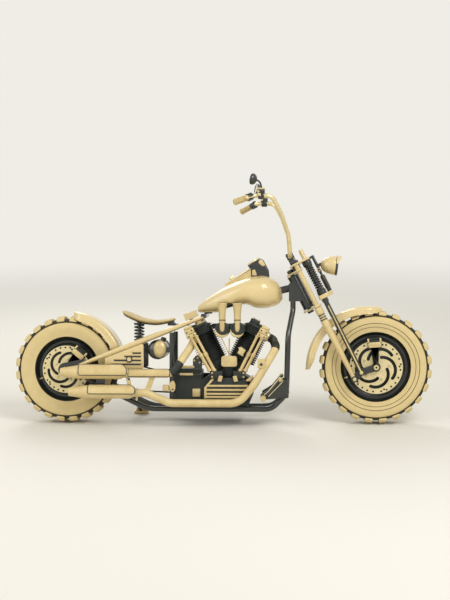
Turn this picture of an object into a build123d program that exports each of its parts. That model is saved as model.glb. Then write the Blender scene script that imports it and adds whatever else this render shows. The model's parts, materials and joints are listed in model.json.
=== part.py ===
# Bobber motorcycle with a V-twin engine and a springer fork, parked on its side stand.
# Lengths in millimetres, angles in degrees. Every piece is drawn in the upright frame:
# X forwards from the rear axle, Y to the rider's left, Z up from the tyres' contact line.
# The last section leans the whole machine onto its stand.
from build123d import *
from math import acos, atan2, cos, radians, sin, sqrt, tan
import os

# Stance
LEAN = 8.0
RUN = 0.05  # radial clearance of a shaft in its hole
SEAT = 0.3  # gap between curved faces that rest on each other

# Where the main pieces stand along the machine, each measured from the one behind it
DRIVE_X, DRIVE_Z = 655.0, 205.0
CRANK_AHEAD, CRADLE_AHEAD, FORK_AHEAD, AXLE_AHEAD = 260.0, 333.0, 380.0, 122.0
CRANK_X = DRIVE_X + CRANK_AHEAD
DOWNTUBE_X = CRANK_X + CRADLE_AHEAD
LEG_FOOT_X = DOWNTUBE_X + FORK_AHEAD
WHEELBASE = LEG_FOOT_X + AXLE_AHEAD  # 1750

# Wheels, brakes and final drive
REAR_TYRE_R, REAR_TYRE_HALF, REAR_RIM_R = 302.0, 73.0, 192.0
FRONT_TYRE_R, FRONT_TYRE_HALF, FRONT_RIM_R = 318.0, 64.0, 210.0
LUG_COUNT = 24
LUG_CENTRE_HALF, LUG_CENTRE_LENGTH, LUG_SHOULDER_LENGTH = 24.0, 30.0, 46.0
LUG_DEPTH = 17.0
SHOULDER_DROP = 6.0
AXLE_R, AXLE_BORE_R, AXLE_BORE_DEPTH = 10.0, 5.0, 60.0
FRONT_SEAT, REAR_PLATE_IN = 110.0, 104.0
NUT_R, SPACER_R = 15.0, 17.0
HUB_R = 38.0
REAR_WEB_HALF, FRONT_WEB_HALF = 30.0, 26.0
DISC_ARMS, DISC_SLOT, DISC_HOLE_R = 5, 0.12, 5.5
DISC_ROUTE = ((0.42, 62), (0.70, 4), (0.74, -34))  # a slot's course: share of the radius, angle
DISC_HOLES = ((0.88, 2), (0.92, -6), (0.92, -25), (0.93, -39), (0.92, -52), (0.93, -65))
REAR_HUB_HALF, FRONT_HUB_HALF = 84.0, 78.0
REAR_DISC_R, FRONT_DISC_R, DISC_THICK, DISC_EYE_R = 134.0, 149.0, 5.0, 26.0
PULLEY_R, PULLEY_WIDTH = 108.0, 14.0
DRIVE_PULLEY_R = 40.0
BELT_THICK = 8.0
CALIPER_SLOT_GAP = 4.0
REAR_NUT_OUT, FRONT_NUT_OUT = 140.0, 124.0

# Frame
RAIL_Y, RAIL_R, RAIL_Z = 122.0, 15.0, 86.0
NECK_TUBE_Y, NECK_BASE_Z = 42.0, 690.0
SEAT_TUBE_X, SEAT_TUBE_R = 605.0, 12.5
STAY_REAR_X, STAY_REAR_Z, STAY_REAR_R = 110.0, 341.0, 16.0
STAY_FRONT_Z, STAY_FRONT_R = 606.0, 12.0
BRIDGE_TOP, BRIDGE_LONG, BRIDGE_HIGH = 620.0, 30.0, 20.0
SEAT_BAR_R = 8.0
BACKBONE_R, BACKBONE_LONG = 22.0, 500.0
BACKBONE_REAR_Z, BACKBONE_FRONT_Z = 645.0, 775.0
BACKBONE_FRONT_X = DOWNTUBE_X + 52
BACKBONE_REAR_X = BACKBONE_FRONT_X - BACKBONE_LONG
STAY_FRONT_X = BACKBONE_REAR_X - 12
SEAT_BOX_X, SEAT_BOX_Z, SEAT_BOX_HIGH, SEAT_BOX_TILT = BACKBONE_REAR_X - 96, 610.0, 38.0, 21.0
DROPOUT_IN, DROPOUT_OUT, DROPOUT_R = 112.0, 126.0, 38.0

# Springer fork, laid out along its rigid legs: S up the leg, E ahead of it
RAKE = 27.0
LEG_FOOT_Z, LEG_Y = 256.0, 128.0
STEM_BEHIND = 45.0
STEM_R, HEAD_TUBE_R = 13.0, 31.0
LOWER_TREE_S, UPPER_TREE_S, TOP_PLATE_S = 448.0, 674.0, 712.0
TREE_THICK = 16.0
LEG_UPPER_R, LEG_COLLAR_R, LEG_LOWER_R, LEG_FOOT_R = 15.0, 22.0, 20.0, 13.0
PERCH_S, PERCH_E, PERCH_THICK = 478.0, 57.0, 24.0
FRONT_LEG_FOOT_X, FRONT_LEG_FOOT_Z, FRONT_LEG_R = LEG_FOOT_X + 38, LEG_FOOT_Z + 37, 13.0
SPRING_Y, SPRING_E, SPRING_R = 70.0, 60.0, 22.0
DAMPER_E, DAMPER_R, ARM_E = 105.0, 13.0, 114.0
ROCKER_IN, ROCKER_OUT, ROCKER_R = 92.0, 104.0, 19.0
PIN_R = 8.0
STEER_RANGE = 32.0

# Handlebar
BAR_R, BAR_CLAMP_S, BAR_CLAMP_E, RISER_Y = 12.7, 774.0, -8.0, 45.0
BAR_ROUTE = ((368, 150, 1062), (409, 246, 1181), (456, 298, 1268), (560, 298, 1268), (649, 390, 1228))
GRIP_R = 17.0
PERCH_TOP, PERCH_AHEAD = 1290.0, 45.0
LAMP_S, LAMP_E, LAMP_TILT = 656.0, 133.3, -6.0

# Engine: a 50 degree V about the crank
CRANK_Z, BANK = 190.0, 25.0
CASE_RIGHT, CASE_LEFT, CASE_REAR = -88.0, 100.0, 145.0
BARREL_BASE, BARREL_TOP, HEAD_TOP = 118.0, 345.0, 390.0
FIN_R, BARREL_R, SPIGOT_R = 79.0, 64.0, 54.0
FIN_COUNT, FIN_START, FIN_PITCH, FIN_THICK = 13, 186.0, 12.3, 3.4
HEAD_FIN_COUNT, HEAD_FIN_THICK, HEAD_FIN_DEEP = 4, 5.0, 9.0
HEAD_HALF, HEAD_RIGHT, HEAD_LEFT = 72.0, -108.0, 82.0
PUSHROD_Y, PUSHROD_R = -132.0, 9.0
TAPPET_TOP = 300.0
CAM_OUT, CAM_TOP = -140.0, 262.0

# Exhaust
PIPE_Y, PIPE_R = -185.0, 22.0
UPPER_PIPE_Z, LOWER_PIPE_Z, LOW_RUN_Z = 286.0, 179.0, 123.0
UPPER_MUFFLER_R, LOWER_MUFFLER_R = 40.0, 38.0

# Fenders
FENDER_WALL, FENDER_CORNER = 5.0, 8.0
REAR_FENDER_R, REAR_FENDER_HALF, REAR_SKIRT = REAR_TYRE_R + 31, REAR_TYRE_HALF + 15, 50.0
FRONT_FENDER_R, FRONT_FENDER_HALF, FRONT_SKIRT = FRONT_TYRE_R + 33, FRONT_TYRE_HALF + 16, 35.0
FRONT_FENDER_BACK, FRONT_FENDER_DROP = 43.0, 8.0

# Side stand, laid out from its pivot
STAND_X, STAND_Y, STAND_Z = 368.0, 162.0, 112.0
STAND_BOSS, STAND_BOSS_R, STAND_PIN_R, STAND_LEG_R, STAND_REACH = 24.0, 17.0, 6.0, 11.0, 44.0
STAND_FOOT_X, STAND_FOOT_Y = 392.0, 228.0
STAND_STOW = 100.0

tilt = tan(radians(LEAN))
rake_sin, rake_cos = sin(radians(RAKE)), cos(radians(RAKE))
bank_sin, bank_cos = sin(radians(BANK)), cos(radians(BANK))
ALONG_Y = (0, 1, 0)


def axle_height(tyre_r):
    """Height at which the leaned tyre's centre lug meets the floor with its left edge."""
    return sqrt(tyre_r**2 - (LUG_CENTRE_LENGTH / 2) ** 2) + LUG_CENTRE_HALF * tilt


REAR_AXLE = (0.0, axle_height(REAR_TYRE_R))
FRONT_AXLE = (WHEELBASE, axle_height(FRONT_TYRE_R))


def fork_point(s, e, y=0.0):
    """A point S up the rigid legs and E ahead of them."""
    x = LEG_FOOT_X - s * rake_sin + e * rake_cos
    return (x, y, LEG_FOOT_Z + s * rake_cos + e * rake_sin)


def bank_point(side, along, across, y=0.0):
    """A point along a cylinder's axis from the crank and across it, outwards from the V."""
    x = CRANK_X + side * (along * bank_sin + across * bank_cos)
    return (x, y, CRANK_Z + along * bank_cos - across * bank_sin)


def from_crank(points):
    """Points of an outline given ahead of the crank."""
    return [(CRANK_X + x, z) for x, z in points]


def from_neck(points):
    """Points of an outline given behind the downtubes."""
    return [(DOWNTUBE_X - x, z) for x, z in points]


LEG_UP = (-rake_sin, 0, rake_cos)


def slab(outline, y_low, y_high):
    """An outline in X and Z, made solid between two values of Y."""
    with BuildPart() as piece:
        with BuildSketch(Plane.XZ.offset(-y_high)):
            with BuildLine():
                Polyline(*outline, close=True)
            make_face()
        extrude(amount=y_high - y_low)
    return piece.part


def block(low, high):
    """A box between its lowest and highest corners."""
    size = [high[i] - low[i] for i in range(3)]
    centre = [(high[i] + low[i]) / 2 for i in range(3)]
    with BuildPart() as piece:
        with Locations(tuple(centre)):
            Box(*size)
    return piece.part


def rod(start, end, radius):
    """A round bar between two points."""
    line = Vector(*end) - Vector(*start)
    with BuildPart() as piece:
        with BuildSketch(Plane(origin=start, z_dir=line)):
            Circle(radius)
        extrude(amount=line.length)
    return piece.part


def tube(points, bends, radius):
    """A round bar along straight runs joined by tangent arcs."""
    with BuildPart() as piece:
        with BuildLine() as route:
            FilletPolyline(*points, radius=bends)
        with BuildSketch(Plane(origin=route.line @ 0, z_dir=route.line % 0)):
            Circle(radius)
        sweep()
    return piece.part


def turned(start, direction, stations):
    """A solid turned about the line from start, from (distance along it, radius) stations."""
    axis = Vector(*direction).normalized()
    aside = Vector(0, 1, 0) if abs(axis.Y) < 0.9 else Vector(1, 0, 0)
    across = axis.cross(aside).normalized()
    outline = [(0, stations[0][0])] + [(r, s) for s, r in stations] + [(0, stations[-1][0])]
    with BuildPart() as piece:
        with BuildSketch(Plane(origin=start, x_dir=across, z_dir=across.cross(axis))):
            with BuildLine():
                Polyline(*outline, close=True)
            make_face()
        revolve(axis=Axis(start, tuple(axis)))
    return piece.part


def ring_section(centre, outline, from_angle=0.0, arc=360.0):
    """A (y, r) outline swept about an axle, from an angle above +X, turning upwards."""
    a = radians(from_angle)
    across = Vector(cos(a), 0, sin(a))
    origin = (centre[0], 0, centre[1])
    with BuildPart() as piece:
        with BuildSketch(Plane(origin=origin, x_dir=ALONG_Y, z_dir=Vector(0, 1, 0).cross(across))):
            with BuildLine():
                Polyline(*outline, close=True)
            make_face()
        revolve(axis=Axis(origin, (0, -1, 0)), revolution_arc=arc)
    return piece.part


def fork_box(s_low, s_high, e_low, e_high, y_low, y_high):
    """A box square to the fork's legs."""
    corner = fork_point((s_low + s_high) / 2, (e_low + e_high) / 2, (y_low + y_high) / 2)
    with BuildPart() as piece:
        with BuildSketch(Plane(origin=corner, x_dir=(rake_cos, 0, rake_sin), z_dir=LEG_UP)):
            Rectangle(e_high - e_low, y_high - y_low)
        extrude(amount=(s_high - s_low) / 2, both=True)
    return piece.part


def bank_box(side, along, across, y_range):
    """A box square to a cylinder's axis."""
    corners = [(along[0], across[0]), (along[1], across[0]), (along[1], across[1]), (along[0], across[1])]
    outline = [bank_point(side, a, c)[::2] for a, c in corners]
    return slab(outline, *y_range)


def joined(label, *solids, cuts=()):
    """One labelled piece made of solids, less the cuts."""
    with BuildPart() as piece:
        add(list(solids))
        if cuts:
            add(list(cuts), mode=Mode.SUBTRACT)
    piece.part.label = label
    pieces[label] = piece.part
    return piece.part


pieces = {}


# Tyres: a rounded carcass, a row of centre lugs and two rows of shoulder lugs half a pitch on
def make_tyre(label, centre, tyre_r, half, rim_r):
    base = tyre_r - LUG_DEPTH
    right = [(0, base), (half * 0.5, base), (half * 0.84, base - 11), (half, base - 45),
             (half * 0.95, rim_r + 24)]
    right += [(half * 0.74, rim_r + SEAT), (0, rim_r + SEAT)]
    carcass = ring_section(centre, right + [(-y, r) for y, r in reversed(right[1:-1])])
    face = sqrt(tyre_r**2 - (LUG_CENTRE_LENGTH / 2) ** 2)
    shoulder_face = tyre_r - SHOULDER_DROP
    shoulder = [(LUG_CENTRE_HALF + 5, base - 14), (LUG_CENTRE_HALF + 5, shoulder_face)]
    shoulder += [(half * 0.8, shoulder_face - 3), (half + 1, base - 12), (half - 6, base - 24)]
    origin = (centre[0], 0, centre[1])
    pitch = 360 / LUG_COUNT
    lugs = []
    for i in range(LUG_COUNT):
        lugs.append((i * pitch - 90, [(-LUG_CENTRE_HALF, base - 4), (-LUG_CENTRE_HALF, face),
                                      (LUG_CENTRE_HALF, face), (LUG_CENTRE_HALF, base - 4)],
                     LUG_CENTRE_LENGTH))
        for side in (1, -1):
            lugs.append(((i + 0.5) * pitch - 90, [(side * y, r) for y, r in shoulder], LUG_SHOULDER_LENGTH))
    blocks = []
    for angle, outline, length in lugs:
        a = radians(angle)
        tangent = Vector(-sin(a), 0, cos(a))
        plane = Plane(origin=origin, x_dir=ALONG_Y, z_dir=Vector(0, 1, 0).cross(Vector(cos(a), 0, sin(a))))
        with BuildPart() as lug:
            with BuildSketch(plane):
                with BuildLine():
                    Polyline(*outline, close=True)
                make_face()
            extrude(amount=length / 2, both=True)
        blocks.append(lug.part)
    return joined(label, carcass, *blocks)


make_tyre("rear_tyre", REAR_AXLE, REAR_TYRE_R, REAR_TYRE_HALF, REAR_RIM_R)
make_tyre("front_tyre", FRONT_AXLE, FRONT_TYRE_R, FRONT_TYRE_HALF, FRONT_RIM_R)


# Dish wheels: barrel and web in one, round a hub that is bored for the axle
def make_rim(label, centre, rim_r, half, web_half, hub_half):
    barrel = half * 0.74
    right = [(HUB_R + SEAT, web_half), (rim_r - 34, web_half - 6), (rim_r - 14, barrel), (rim_r, barrel)]
    outline = [(y, r) for r, y in right] + [(-y, r) for r, y in reversed(right)]
    hub = [(-hub_half, AXLE_R + RUN), (-hub_half, HUB_R), (hub_half, HUB_R), (hub_half, AXLE_R + RUN)]
    return joined(label, ring_section(centre, outline), ring_section(centre, hub))


make_rim("rear_rim", REAR_AXLE, REAR_RIM_R, REAR_TYRE_HALF, REAR_WEB_HALF, REAR_HUB_HALF)
make_rim("front_rim", FRONT_AXLE, FRONT_RIM_R, FRONT_TYRE_HALF, FRONT_WEB_HALF, FRONT_HUB_HALF)


# Discs: curved slots between their arms and drilled holes towards the edge
def make_disc(label, centre, radius, hub_half):
    def at(share, angle):
        return (share * radius * cos(radians(angle)), share * radius * sin(radians(angle)))

    turns = [-360 / DISC_ARMS * k for k in range(DISC_ARMS)]
    courses = [Edge.make_three_point_arc(*[at(share, a + turn) for share, a in DISC_ROUTE]) for turn in turns]
    with BuildPart() as disc:
        with BuildSketch(Plane(origin=(centre[0], -hub_half, centre[1]), x_dir=(1, 0, 0), z_dir=(0, -1, 0))):
            Circle(radius)
            Circle(DISC_EYE_R, mode=Mode.SUBTRACT)
            for course in courses:
                SlotArc(course, DISC_SLOT * radius, mode=Mode.SUBTRACT)
            with Locations(*[at(share, a + turn) for share, a in DISC_HOLES for turn in turns]):
                Circle(DISC_HOLE_R, mode=Mode.SUBTRACT)
        extrude(amount=DISC_THICK)
    return joined(label, disc.part)


make_disc("rear_disc", REAR_AXLE, REAR_DISC_R, REAR_HUB_HALF)
make_disc("front_disc", FRONT_AXLE, FRONT_DISC_R, FRONT_HUB_HALF)

# Final drive on the left: toothless pulleys and a belt drawn as one fixed loop
belt_in = REAR_HUB_HALF + 1
belt_out = REAR_HUB_HALF + PULLEY_WIDTH - 1
pulley_out = REAR_HUB_HALF + PULLEY_WIDTH
joined("rear_pulley", ring_section(REAR_AXLE, [(REAR_HUB_HALF, AXLE_R + RUN), (REAR_HUB_HALF, PULLEY_R),
                                               (pulley_out, PULLEY_R), (pulley_out, AXLE_R + RUN)]))


def belt_outline(grow):
    """Outline of a belt wrapped round both pulleys, grown by a distance."""
    r0, r1 = PULLEY_R + grow, DRIVE_PULLEY_R + grow
    dx, dz = DRIVE_X - REAR_AXLE[0], DRIVE_Z - REAR_AXLE[1]
    heading = atan2(dz, dx)
    swing = acos((r0 - r1) / sqrt(dx**2 + dz**2))

    def at(centre, r, angle):
        return (centre[0] + r * cos(angle), centre[1] + r * sin(angle))

    front = (DRIVE_X, DRIVE_Z)
    ends = [at(REAR_AXLE, r0, heading + swing), at(front, r1, heading + swing), at(front, r1, heading),
            at(front, r1, heading - swing), at(REAR_AXLE, r0, heading - swing),
            at(REAR_AXLE, r0, heading + radians(180))]
    return ends


def belt_solid(grow):
    a, b, c, d, e, f = belt_outline(grow)
    with BuildPart() as piece:
        with BuildSketch(Plane.XZ.offset(-belt_out)):
            with BuildLine():
                Line(a, b)
                ThreePointArc(b, c, d)
                Line(d, e)
                ThreePointArc(e, f, a)
            make_face()
        extrude(amount=belt_out - belt_in)
    return piece.part


joined("drive_belt", belt_solid(SEAT + BELT_THICK), cuts=[belt_solid(SEAT)])
GEARBOX_LEFT = REAR_HUB_HALF - 2

# Axles with a nut and spacers at each end: the front one is hollow, the rear one bored from the left
for label, centre, out, seats, spacers, bore_from in (
    ("rear_axle", REAR_AXLE, REAR_NUT_OUT, (-DROPOUT_OUT, DROPOUT_OUT),
     ((-REAR_PLATE_IN, -REAR_HUB_HALF - DISC_THICK), (REAR_HUB_HALF + PULLEY_WIDTH, DROPOUT_IN)),
     REAR_NUT_OUT - AXLE_BORE_DEPTH),
    ("front_axle", FRONT_AXLE, FRONT_NUT_OUT, (-FRONT_SEAT, ROCKER_OUT),
     ((-ROCKER_IN, -FRONT_HUB_HALF - DISC_THICK), (FRONT_HUB_HALF, ROCKER_IN)),
     -FRONT_NUT_OUT - 1),
):
    stations = [(-out, NUT_R), (seats[0], NUT_R), (seats[0], AXLE_R)]
    for near, far in spacers:
        stations += [(near, AXLE_R), (near, SPACER_R), (far, SPACER_R), (far, AXLE_R)]
    stations += [(seats[1], AXLE_R), (seats[1], NUT_R), (out, NUT_R)]
    joined(label, turned((centre[0], 0, centre[1]), ALONG_Y, stations),
           cuts=[rod((centre[0], bore_from, centre[1]), (centre[0], out + 1, centre[1]), AXLE_BORE_R)])


# Calipers straddle the disc above its hub and hang from a plate on the axle
for label, centre, disc_r, hub_half, plate_in, plate_out, angle in (
    ("rear_caliper", REAR_AXLE, REAR_DISC_R, REAR_HUB_HALF, REAR_PLATE_IN, DROPOUT_IN, 50.0),
    ("front_caliper", FRONT_AXLE, FRONT_DISC_R, FRONT_HUB_HALF, ROCKER_OUT, FRONT_SEAT, 94.0),
):
    a = radians(angle)
    radial = Vector(cos(a), 0, sin(a))
    reach = disc_r - 22
    with BuildPart() as caliper:
        with BuildSketch(Plane(origin=(centre[0], -plate_in, centre[1]), x_dir=radial, z_dir=(0, -1, 0))):
            with Locations((reach / 2, 0)):
                SlotCenterToCenter(reach, 44)
        extrude(amount=plate_out - plate_in)
        with BuildSketch(Plane(origin=(centre[0], -plate_in, centre[1]), x_dir=radial, z_dir=(0, 1, 0))):
            with Locations((reach + 6, 0)):
                Rectangle(64, 76)
        extrude(amount=plate_in - hub_half + 12)
        with BuildSketch(Plane(origin=(centre[0], -hub_half - DISC_THICK - CALIPER_SLOT_GAP, centre[1]),
                               x_dir=radial, z_dir=(0, 1, 0))):
            with Locations((reach - 16, 0)):
                Rectangle(92, 80)
        extrude(amount=DISC_THICK + 2 * CALIPER_SLOT_GAP, mode=Mode.SUBTRACT)
        with BuildSketch(Plane(origin=(centre[0], 0, centre[1]), x_dir=radial, z_dir=(0, -1, 0))):
            Circle(AXLE_R + RUN)
        extrude(amount=200, mode=Mode.SUBTRACT)
    joined(label, caliper.part)

# Frame: neck with head tube and backbone, a cradle each side, and the upper stays
head_low, head_high = LOWER_TREE_S + TREE_THICK + 6, UPPER_TREE_S - 6
head_start = fork_point(head_low, -STEM_BEHIND)
neck_rear_x = DOWNTUBE_X + 14
neck_outline = [(neck_rear_x, NECK_BASE_Z), (DOWNTUBE_X + 82, NECK_BASE_Z),
                fork_point(520, -STEM_BEHIND)[::2],
                fork_point(640, -STEM_BEHIND)[::2], (neck_rear_x, 790)]
joined(
    "frame_neck",
    rod(head_start, fork_point(head_high, -STEM_BEHIND), HEAD_TUBE_R),
    rod((BACKBONE_REAR_X, 0, BACKBONE_REAR_Z), (BACKBONE_FRONT_X, 0, BACKBONE_FRONT_Z), BACKBONE_R),
    slab(neck_outline, -NECK_TUBE_Y - RAIL_R, NECK_TUBE_Y + RAIL_R),
    block((BACKBONE_REAR_X - 18, -26, BRIDGE_TOP), (BACKBONE_REAR_X + 26, 26, BACKBONE_REAR_Z)),
    cuts=[rod(fork_point(300, -STEM_BEHIND), fork_point(800, -STEM_BEHIND), STEM_R + RUN)],
)

RAIL_REAR_X = 560.0
STAND_PLATE = 7.0
stay_run = Vector(STAY_FRONT_X - STAY_REAR_X, 0, STAY_FRONT_Z - STAY_REAR_Z)
stay_slope = stay_run.Z / stay_run.X
stay_cos = stay_run.X / stay_run.length


def stay_height(x):
    """Height of an upper stay's centre line."""
    return STAY_REAR_Z + (x - STAY_REAR_X) * stay_slope


def stay_radius(x):
    """Radius of the tapering upper stay; it starts 30 mm inside the rear joint."""
    share = (x - STAY_REAR_X + 30) / (stay_run.X + 30)
    return STAY_REAR_R + share * (STAY_FRONT_R - STAY_REAR_R)


def under_stay(x):
    """Height at which a flat end meets the underside of an upper stay, less the seat gap."""
    return stay_height(x) - stay_radius(x) / stay_cos - SEAT


cradles, lower_stays = [], []
for side in (1, -1):
    y = side * RAIL_Y
    neck_top_x = DOWNTUBE_X + 37
    neck_y = side * NECK_TUBE_Y
    axle_z = REAR_AXLE[1]
    cradles.append(tube([(neck_top_x, neck_y, NECK_BASE_Z), (neck_top_x, neck_y, 640),
                         (DOWNTUBE_X + 10, y, 500),
                         (DOWNTUBE_X, y, 170), (DOWNTUBE_X - 83, y, RAIL_Z), (RAIL_REAR_X, y, RAIL_Z)],
                        [60, 120, 90, 90], RAIL_R))
    cradles.append(rod((SEAT_TUBE_X, y, RAIL_Z), (SEAT_TUBE_X, y, under_stay(SEAT_TUBE_X - SEAT_TUBE_R)),
                       SEAT_TUBE_R))
    lower_stays.append(tube([(RAIL_REAR_X, y, RAIL_Z), (470, y, RAIL_Z), (150, y, 240), (60, y, axle_z)],
                            [200, 120], RAIL_R))
    lower_stays.append(rod((0, side * DROPOUT_IN, axle_z), (0, side * DROPOUT_OUT, axle_z), DROPOUT_R))
    web_outline = [(0, axle_z - DROPOUT_R), (STAY_REAR_X, 262), (STAY_REAR_X, 366), (0, axle_z + DROPOUT_R)]
    lower_stays.append(slab(web_outline, *sorted((side * DROPOUT_IN, side * DROPOUT_OUT))))
joined("frame_cradle", *cradles)

# The side stand turns on a pin square to its leg, on a plate from the left lower stay
foot_z = STAND_FOOT_Y * tilt
floor_up = Vector(0, -sin(radians(LEAN)), cos(radians(LEAN)))
pivot = Vector(STAND_X, STAND_Y, STAND_Z)
foot_top = floor_up * 12 + Vector(STAND_FOOT_X, STAND_FOOT_Y, foot_z)
leg_run = foot_top - pivot
STAND_AXIS = Vector(0, -leg_run.Z, leg_run.Y).normalized()
inboard = Vector(0, -STAND_AXIS.Z, STAND_AXIS.Y)
plate_top = pivot - STAND_AXIS * (STAND_BOSS / 2 + SEAT)
with BuildPart() as stand_plate:
    with BuildSketch(Plane(origin=plate_top, x_dir=(1, 0, 0), z_dir=-STAND_AXIS)):
        with Locations((0, STAND_REACH / 2)):
            SlotCenterToCenter(STAND_REACH, 34, rotation=90)
    extrude(amount=STAND_PLATE)
lower_stays.append(stand_plate.part)
pin_top = pivot + STAND_AXIS * (STAND_BOSS / 2 + 4)
lower_stays.append(rod(tuple(plate_top - STAND_AXIS * 2), tuple(pin_top), STAND_PIN_R))
hanger_outline = [(180, 160), (230, 160), (230, 300), (180, 300)]
lower_stays.append(slab(hanger_outline, PIPE_Y + UPPER_MUFFLER_R + SEAT, -RAIL_Y - 5))
joined("frame_lower_stays", *lower_stays,
       cuts=[rod((0, -200, REAR_AXLE[1]), (0, 200, REAR_AXLE[1]), AXLE_R + RUN)])

stays = []
for side in (1, -1):
    y = side * RAIL_Y
    stays.append(turned((STAY_REAR_X - 30, y, stay_height(STAY_REAR_X - 30)), tuple(stay_run),
                        [(0, STAY_REAR_R), (stay_run.length + 30, STAY_FRONT_R)]))
stays.append(block((BACKBONE_REAR_X - BRIDGE_LONG, -RAIL_Y - 10, BRIDGE_TOP - BRIDGE_HIGH),
                   (BACKBONE_REAR_X, RAIL_Y + 10, BRIDGE_TOP)))
SEAT_BAR_X, SEAT_BAR_HALF = 395.0, 26.0
spring_foot = stay_height(SEAT_BAR_X) + 6
stays.append(block((SEAT_BAR_X - SEAT_BAR_HALF, -RAIL_Y, spring_foot - 8),
                   (SEAT_BAR_X + SEAT_BAR_HALF, RAIL_Y, spring_foot)))
box_seat_x = SEAT_BOX_X + (SEAT_BOX_HIGH / 2 + SEAT_BAR_R + SEAT) * sin(radians(SEAT_BOX_TILT))
box_seat_z = SEAT_BOX_Z - (SEAT_BOX_HIGH / 2 + SEAT_BAR_R + SEAT) * cos(radians(SEAT_BOX_TILT))
stays.append(rod((box_seat_x, -RAIL_Y, box_seat_z), (box_seat_x, RAIL_Y, box_seat_z), SEAT_BAR_R))
joined("frame_upper_stays", *stays,
       cuts=[block((-50, -200, 200), (STAY_REAR_X, 200, 500)),
             block((BACKBONE_REAR_X, -200, 500), (BACKBONE_REAR_X + 100, 200, 700))])

# Engine and gearbox
case_face = ([bank_point(-1, BARREL_BASE, c)[::2] for c in (60, 0)]
             + [(CRANK_X, CRANK_Z + BARREL_BASE / bank_cos)])
case_face += [bank_point(1, BARREL_BASE, c)[::2] for c in (0, 60)]
case_outline = from_crank([(-125, 104), (-CASE_REAR, 160), (-CASE_REAR, 250)]) + case_face
case_outline += from_crank([(143, 250), (143, 160), (119, 104)])
FOOT_Y = RAIL_Y - RAIL_R - SEAT
crankcase_feet = [block((x - 20, -FOOT_Y, RAIL_Z - 12), (x + 20, FOOT_Y, 124))
                  for x in (CRANK_X - 100, CRANK_X + 95)]
joined("crankcase", slab(case_outline, CASE_RIGHT, CASE_LEFT), *crankcase_feet)
gearbox_outline = [(DRIVE_X - 23, 120)] + from_crank([(-CASE_REAR, 104), (-CASE_REAR, 300),
                                                      (-CASE_REAR - 25, 310)])
gearbox_outline += [(DRIVE_X - 15, 310), (DRIVE_X - 33, 285), (DRIVE_X - 33, 150)]
joined("gearbox", slab(gearbox_outline, CASE_RIGHT, GEARBOX_LEFT),
       rod((DRIVE_X, GEARBOX_LEFT - 2, DRIVE_Z), (DRIVE_X, pulley_out, DRIVE_Z), DRIVE_PULLEY_R))
cam_outline = from_crank([(-126, 142), (133, 142), (133, 205), (95, CAM_TOP), (-75, CAM_TOP), (-126, 205)])


def primary_outline():
    with BuildPart() as piece:
        with BuildSketch(Plane.XZ.offset(-150)):
            with Locations((CRANK_X - 103, 200)):
                SlotOverall(376, 152)
        extrude(amount=150 - CASE_LEFT)
        fillet(piece.faces().sort_by(Axis.Y)[-1].edges(), 14)
    return piece.part


joined("primary_cover", primary_outline())

tappets = [block((x - 33, CAM_OUT - 8, CAM_TOP), (x + 33, CASE_RIGHT, TAPPET_TOP))
           for x in (CRANK_X - 56, CRANK_X + 70)]
joined("cam_cover", slab(cam_outline, CAM_OUT, CASE_RIGHT), *tappets)

barrels, heads, head_blocks, rocker_boxes = [], [], [], []
barrel_stations = [(BARREL_BASE, SPIGOT_R), (FIN_START - 4, SPIGOT_R), (FIN_START - 4, BARREL_R)]
for i in range(FIN_COUNT):
    fin = FIN_START + i * FIN_PITCH
    barrel_stations += [(fin, BARREL_R), (fin, FIN_R), (fin + FIN_THICK, FIN_R), (fin + FIN_THICK, BARREL_R)]
barrel_stations.append((BARREL_TOP, BARREL_R))
head_fin_pitch = (HEAD_TOP - BARREL_TOP - HEAD_FIN_THICK) / (HEAD_FIN_COUNT - 1)
for side in (-1, 1):
    barrels.append(turned((CRANK_X, 0, CRANK_Z), (side * bank_sin, 0, bank_cos), barrel_stations))
    core = HEAD_HALF - HEAD_FIN_DEEP
    heads.append(bank_box(side, (BARREL_TOP, HEAD_TOP), (-core, core),
                          (HEAD_RIGHT + HEAD_FIN_DEEP, HEAD_LEFT - HEAD_FIN_DEEP)))
    for i in range(HEAD_FIN_COUNT):
        fin = BARREL_TOP + i * head_fin_pitch
        heads.append(bank_box(side, (fin, fin + HEAD_FIN_THICK), (-HEAD_HALF, HEAD_HALF),
                              (HEAD_RIGHT, HEAD_LEFT)))
    head_blocks.append(bank_box(side, (BARREL_TOP, HEAD_TOP), (-HEAD_HALF, HEAD_HALF),
                                (HEAD_RIGHT, HEAD_LEFT)))
    rocker_boxes.append(bank_box(side, (350, 418), (20, 78), (-152, HEAD_RIGHT)))
    rocker_boxes.append(bank_box(side, (HEAD_TOP, 414), (-50, 50), (HEAD_RIGHT - 2, 60)))
joined("cylinders", *barrels)
joined("cylinder_heads", *heads)
joined("rocker_boxes", *rocker_boxes, cuts=head_blocks)

rods = []
for side, low, high in ((-1, 77, 58), (-1, 52, 27), (1, 88, 57), (1, 60, 27)):
    foot = (CRANK_X + side * low, PUSHROD_Y, TAPPET_TOP - 30)
    top = bank_point(side, 380, high, PUSHROD_Y)
    shaft = rod(foot, top, PUSHROD_R)
    with BuildPart() as cut:
        add(shaft)
        split(bisect_by=Plane(origin=(0, 0, TAPPET_TOP), z_dir=(0, 0, 1)), keep=Keep.TOP)
        split(bisect_by=Plane(origin=bank_point(side, 350, 0), z_dir=(side * bank_sin, 0, bank_cos)),
              keep=Keep.BOTTOM)
    rods.append(cut.part)
joined("pushrod_tubes", *rods)

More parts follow.
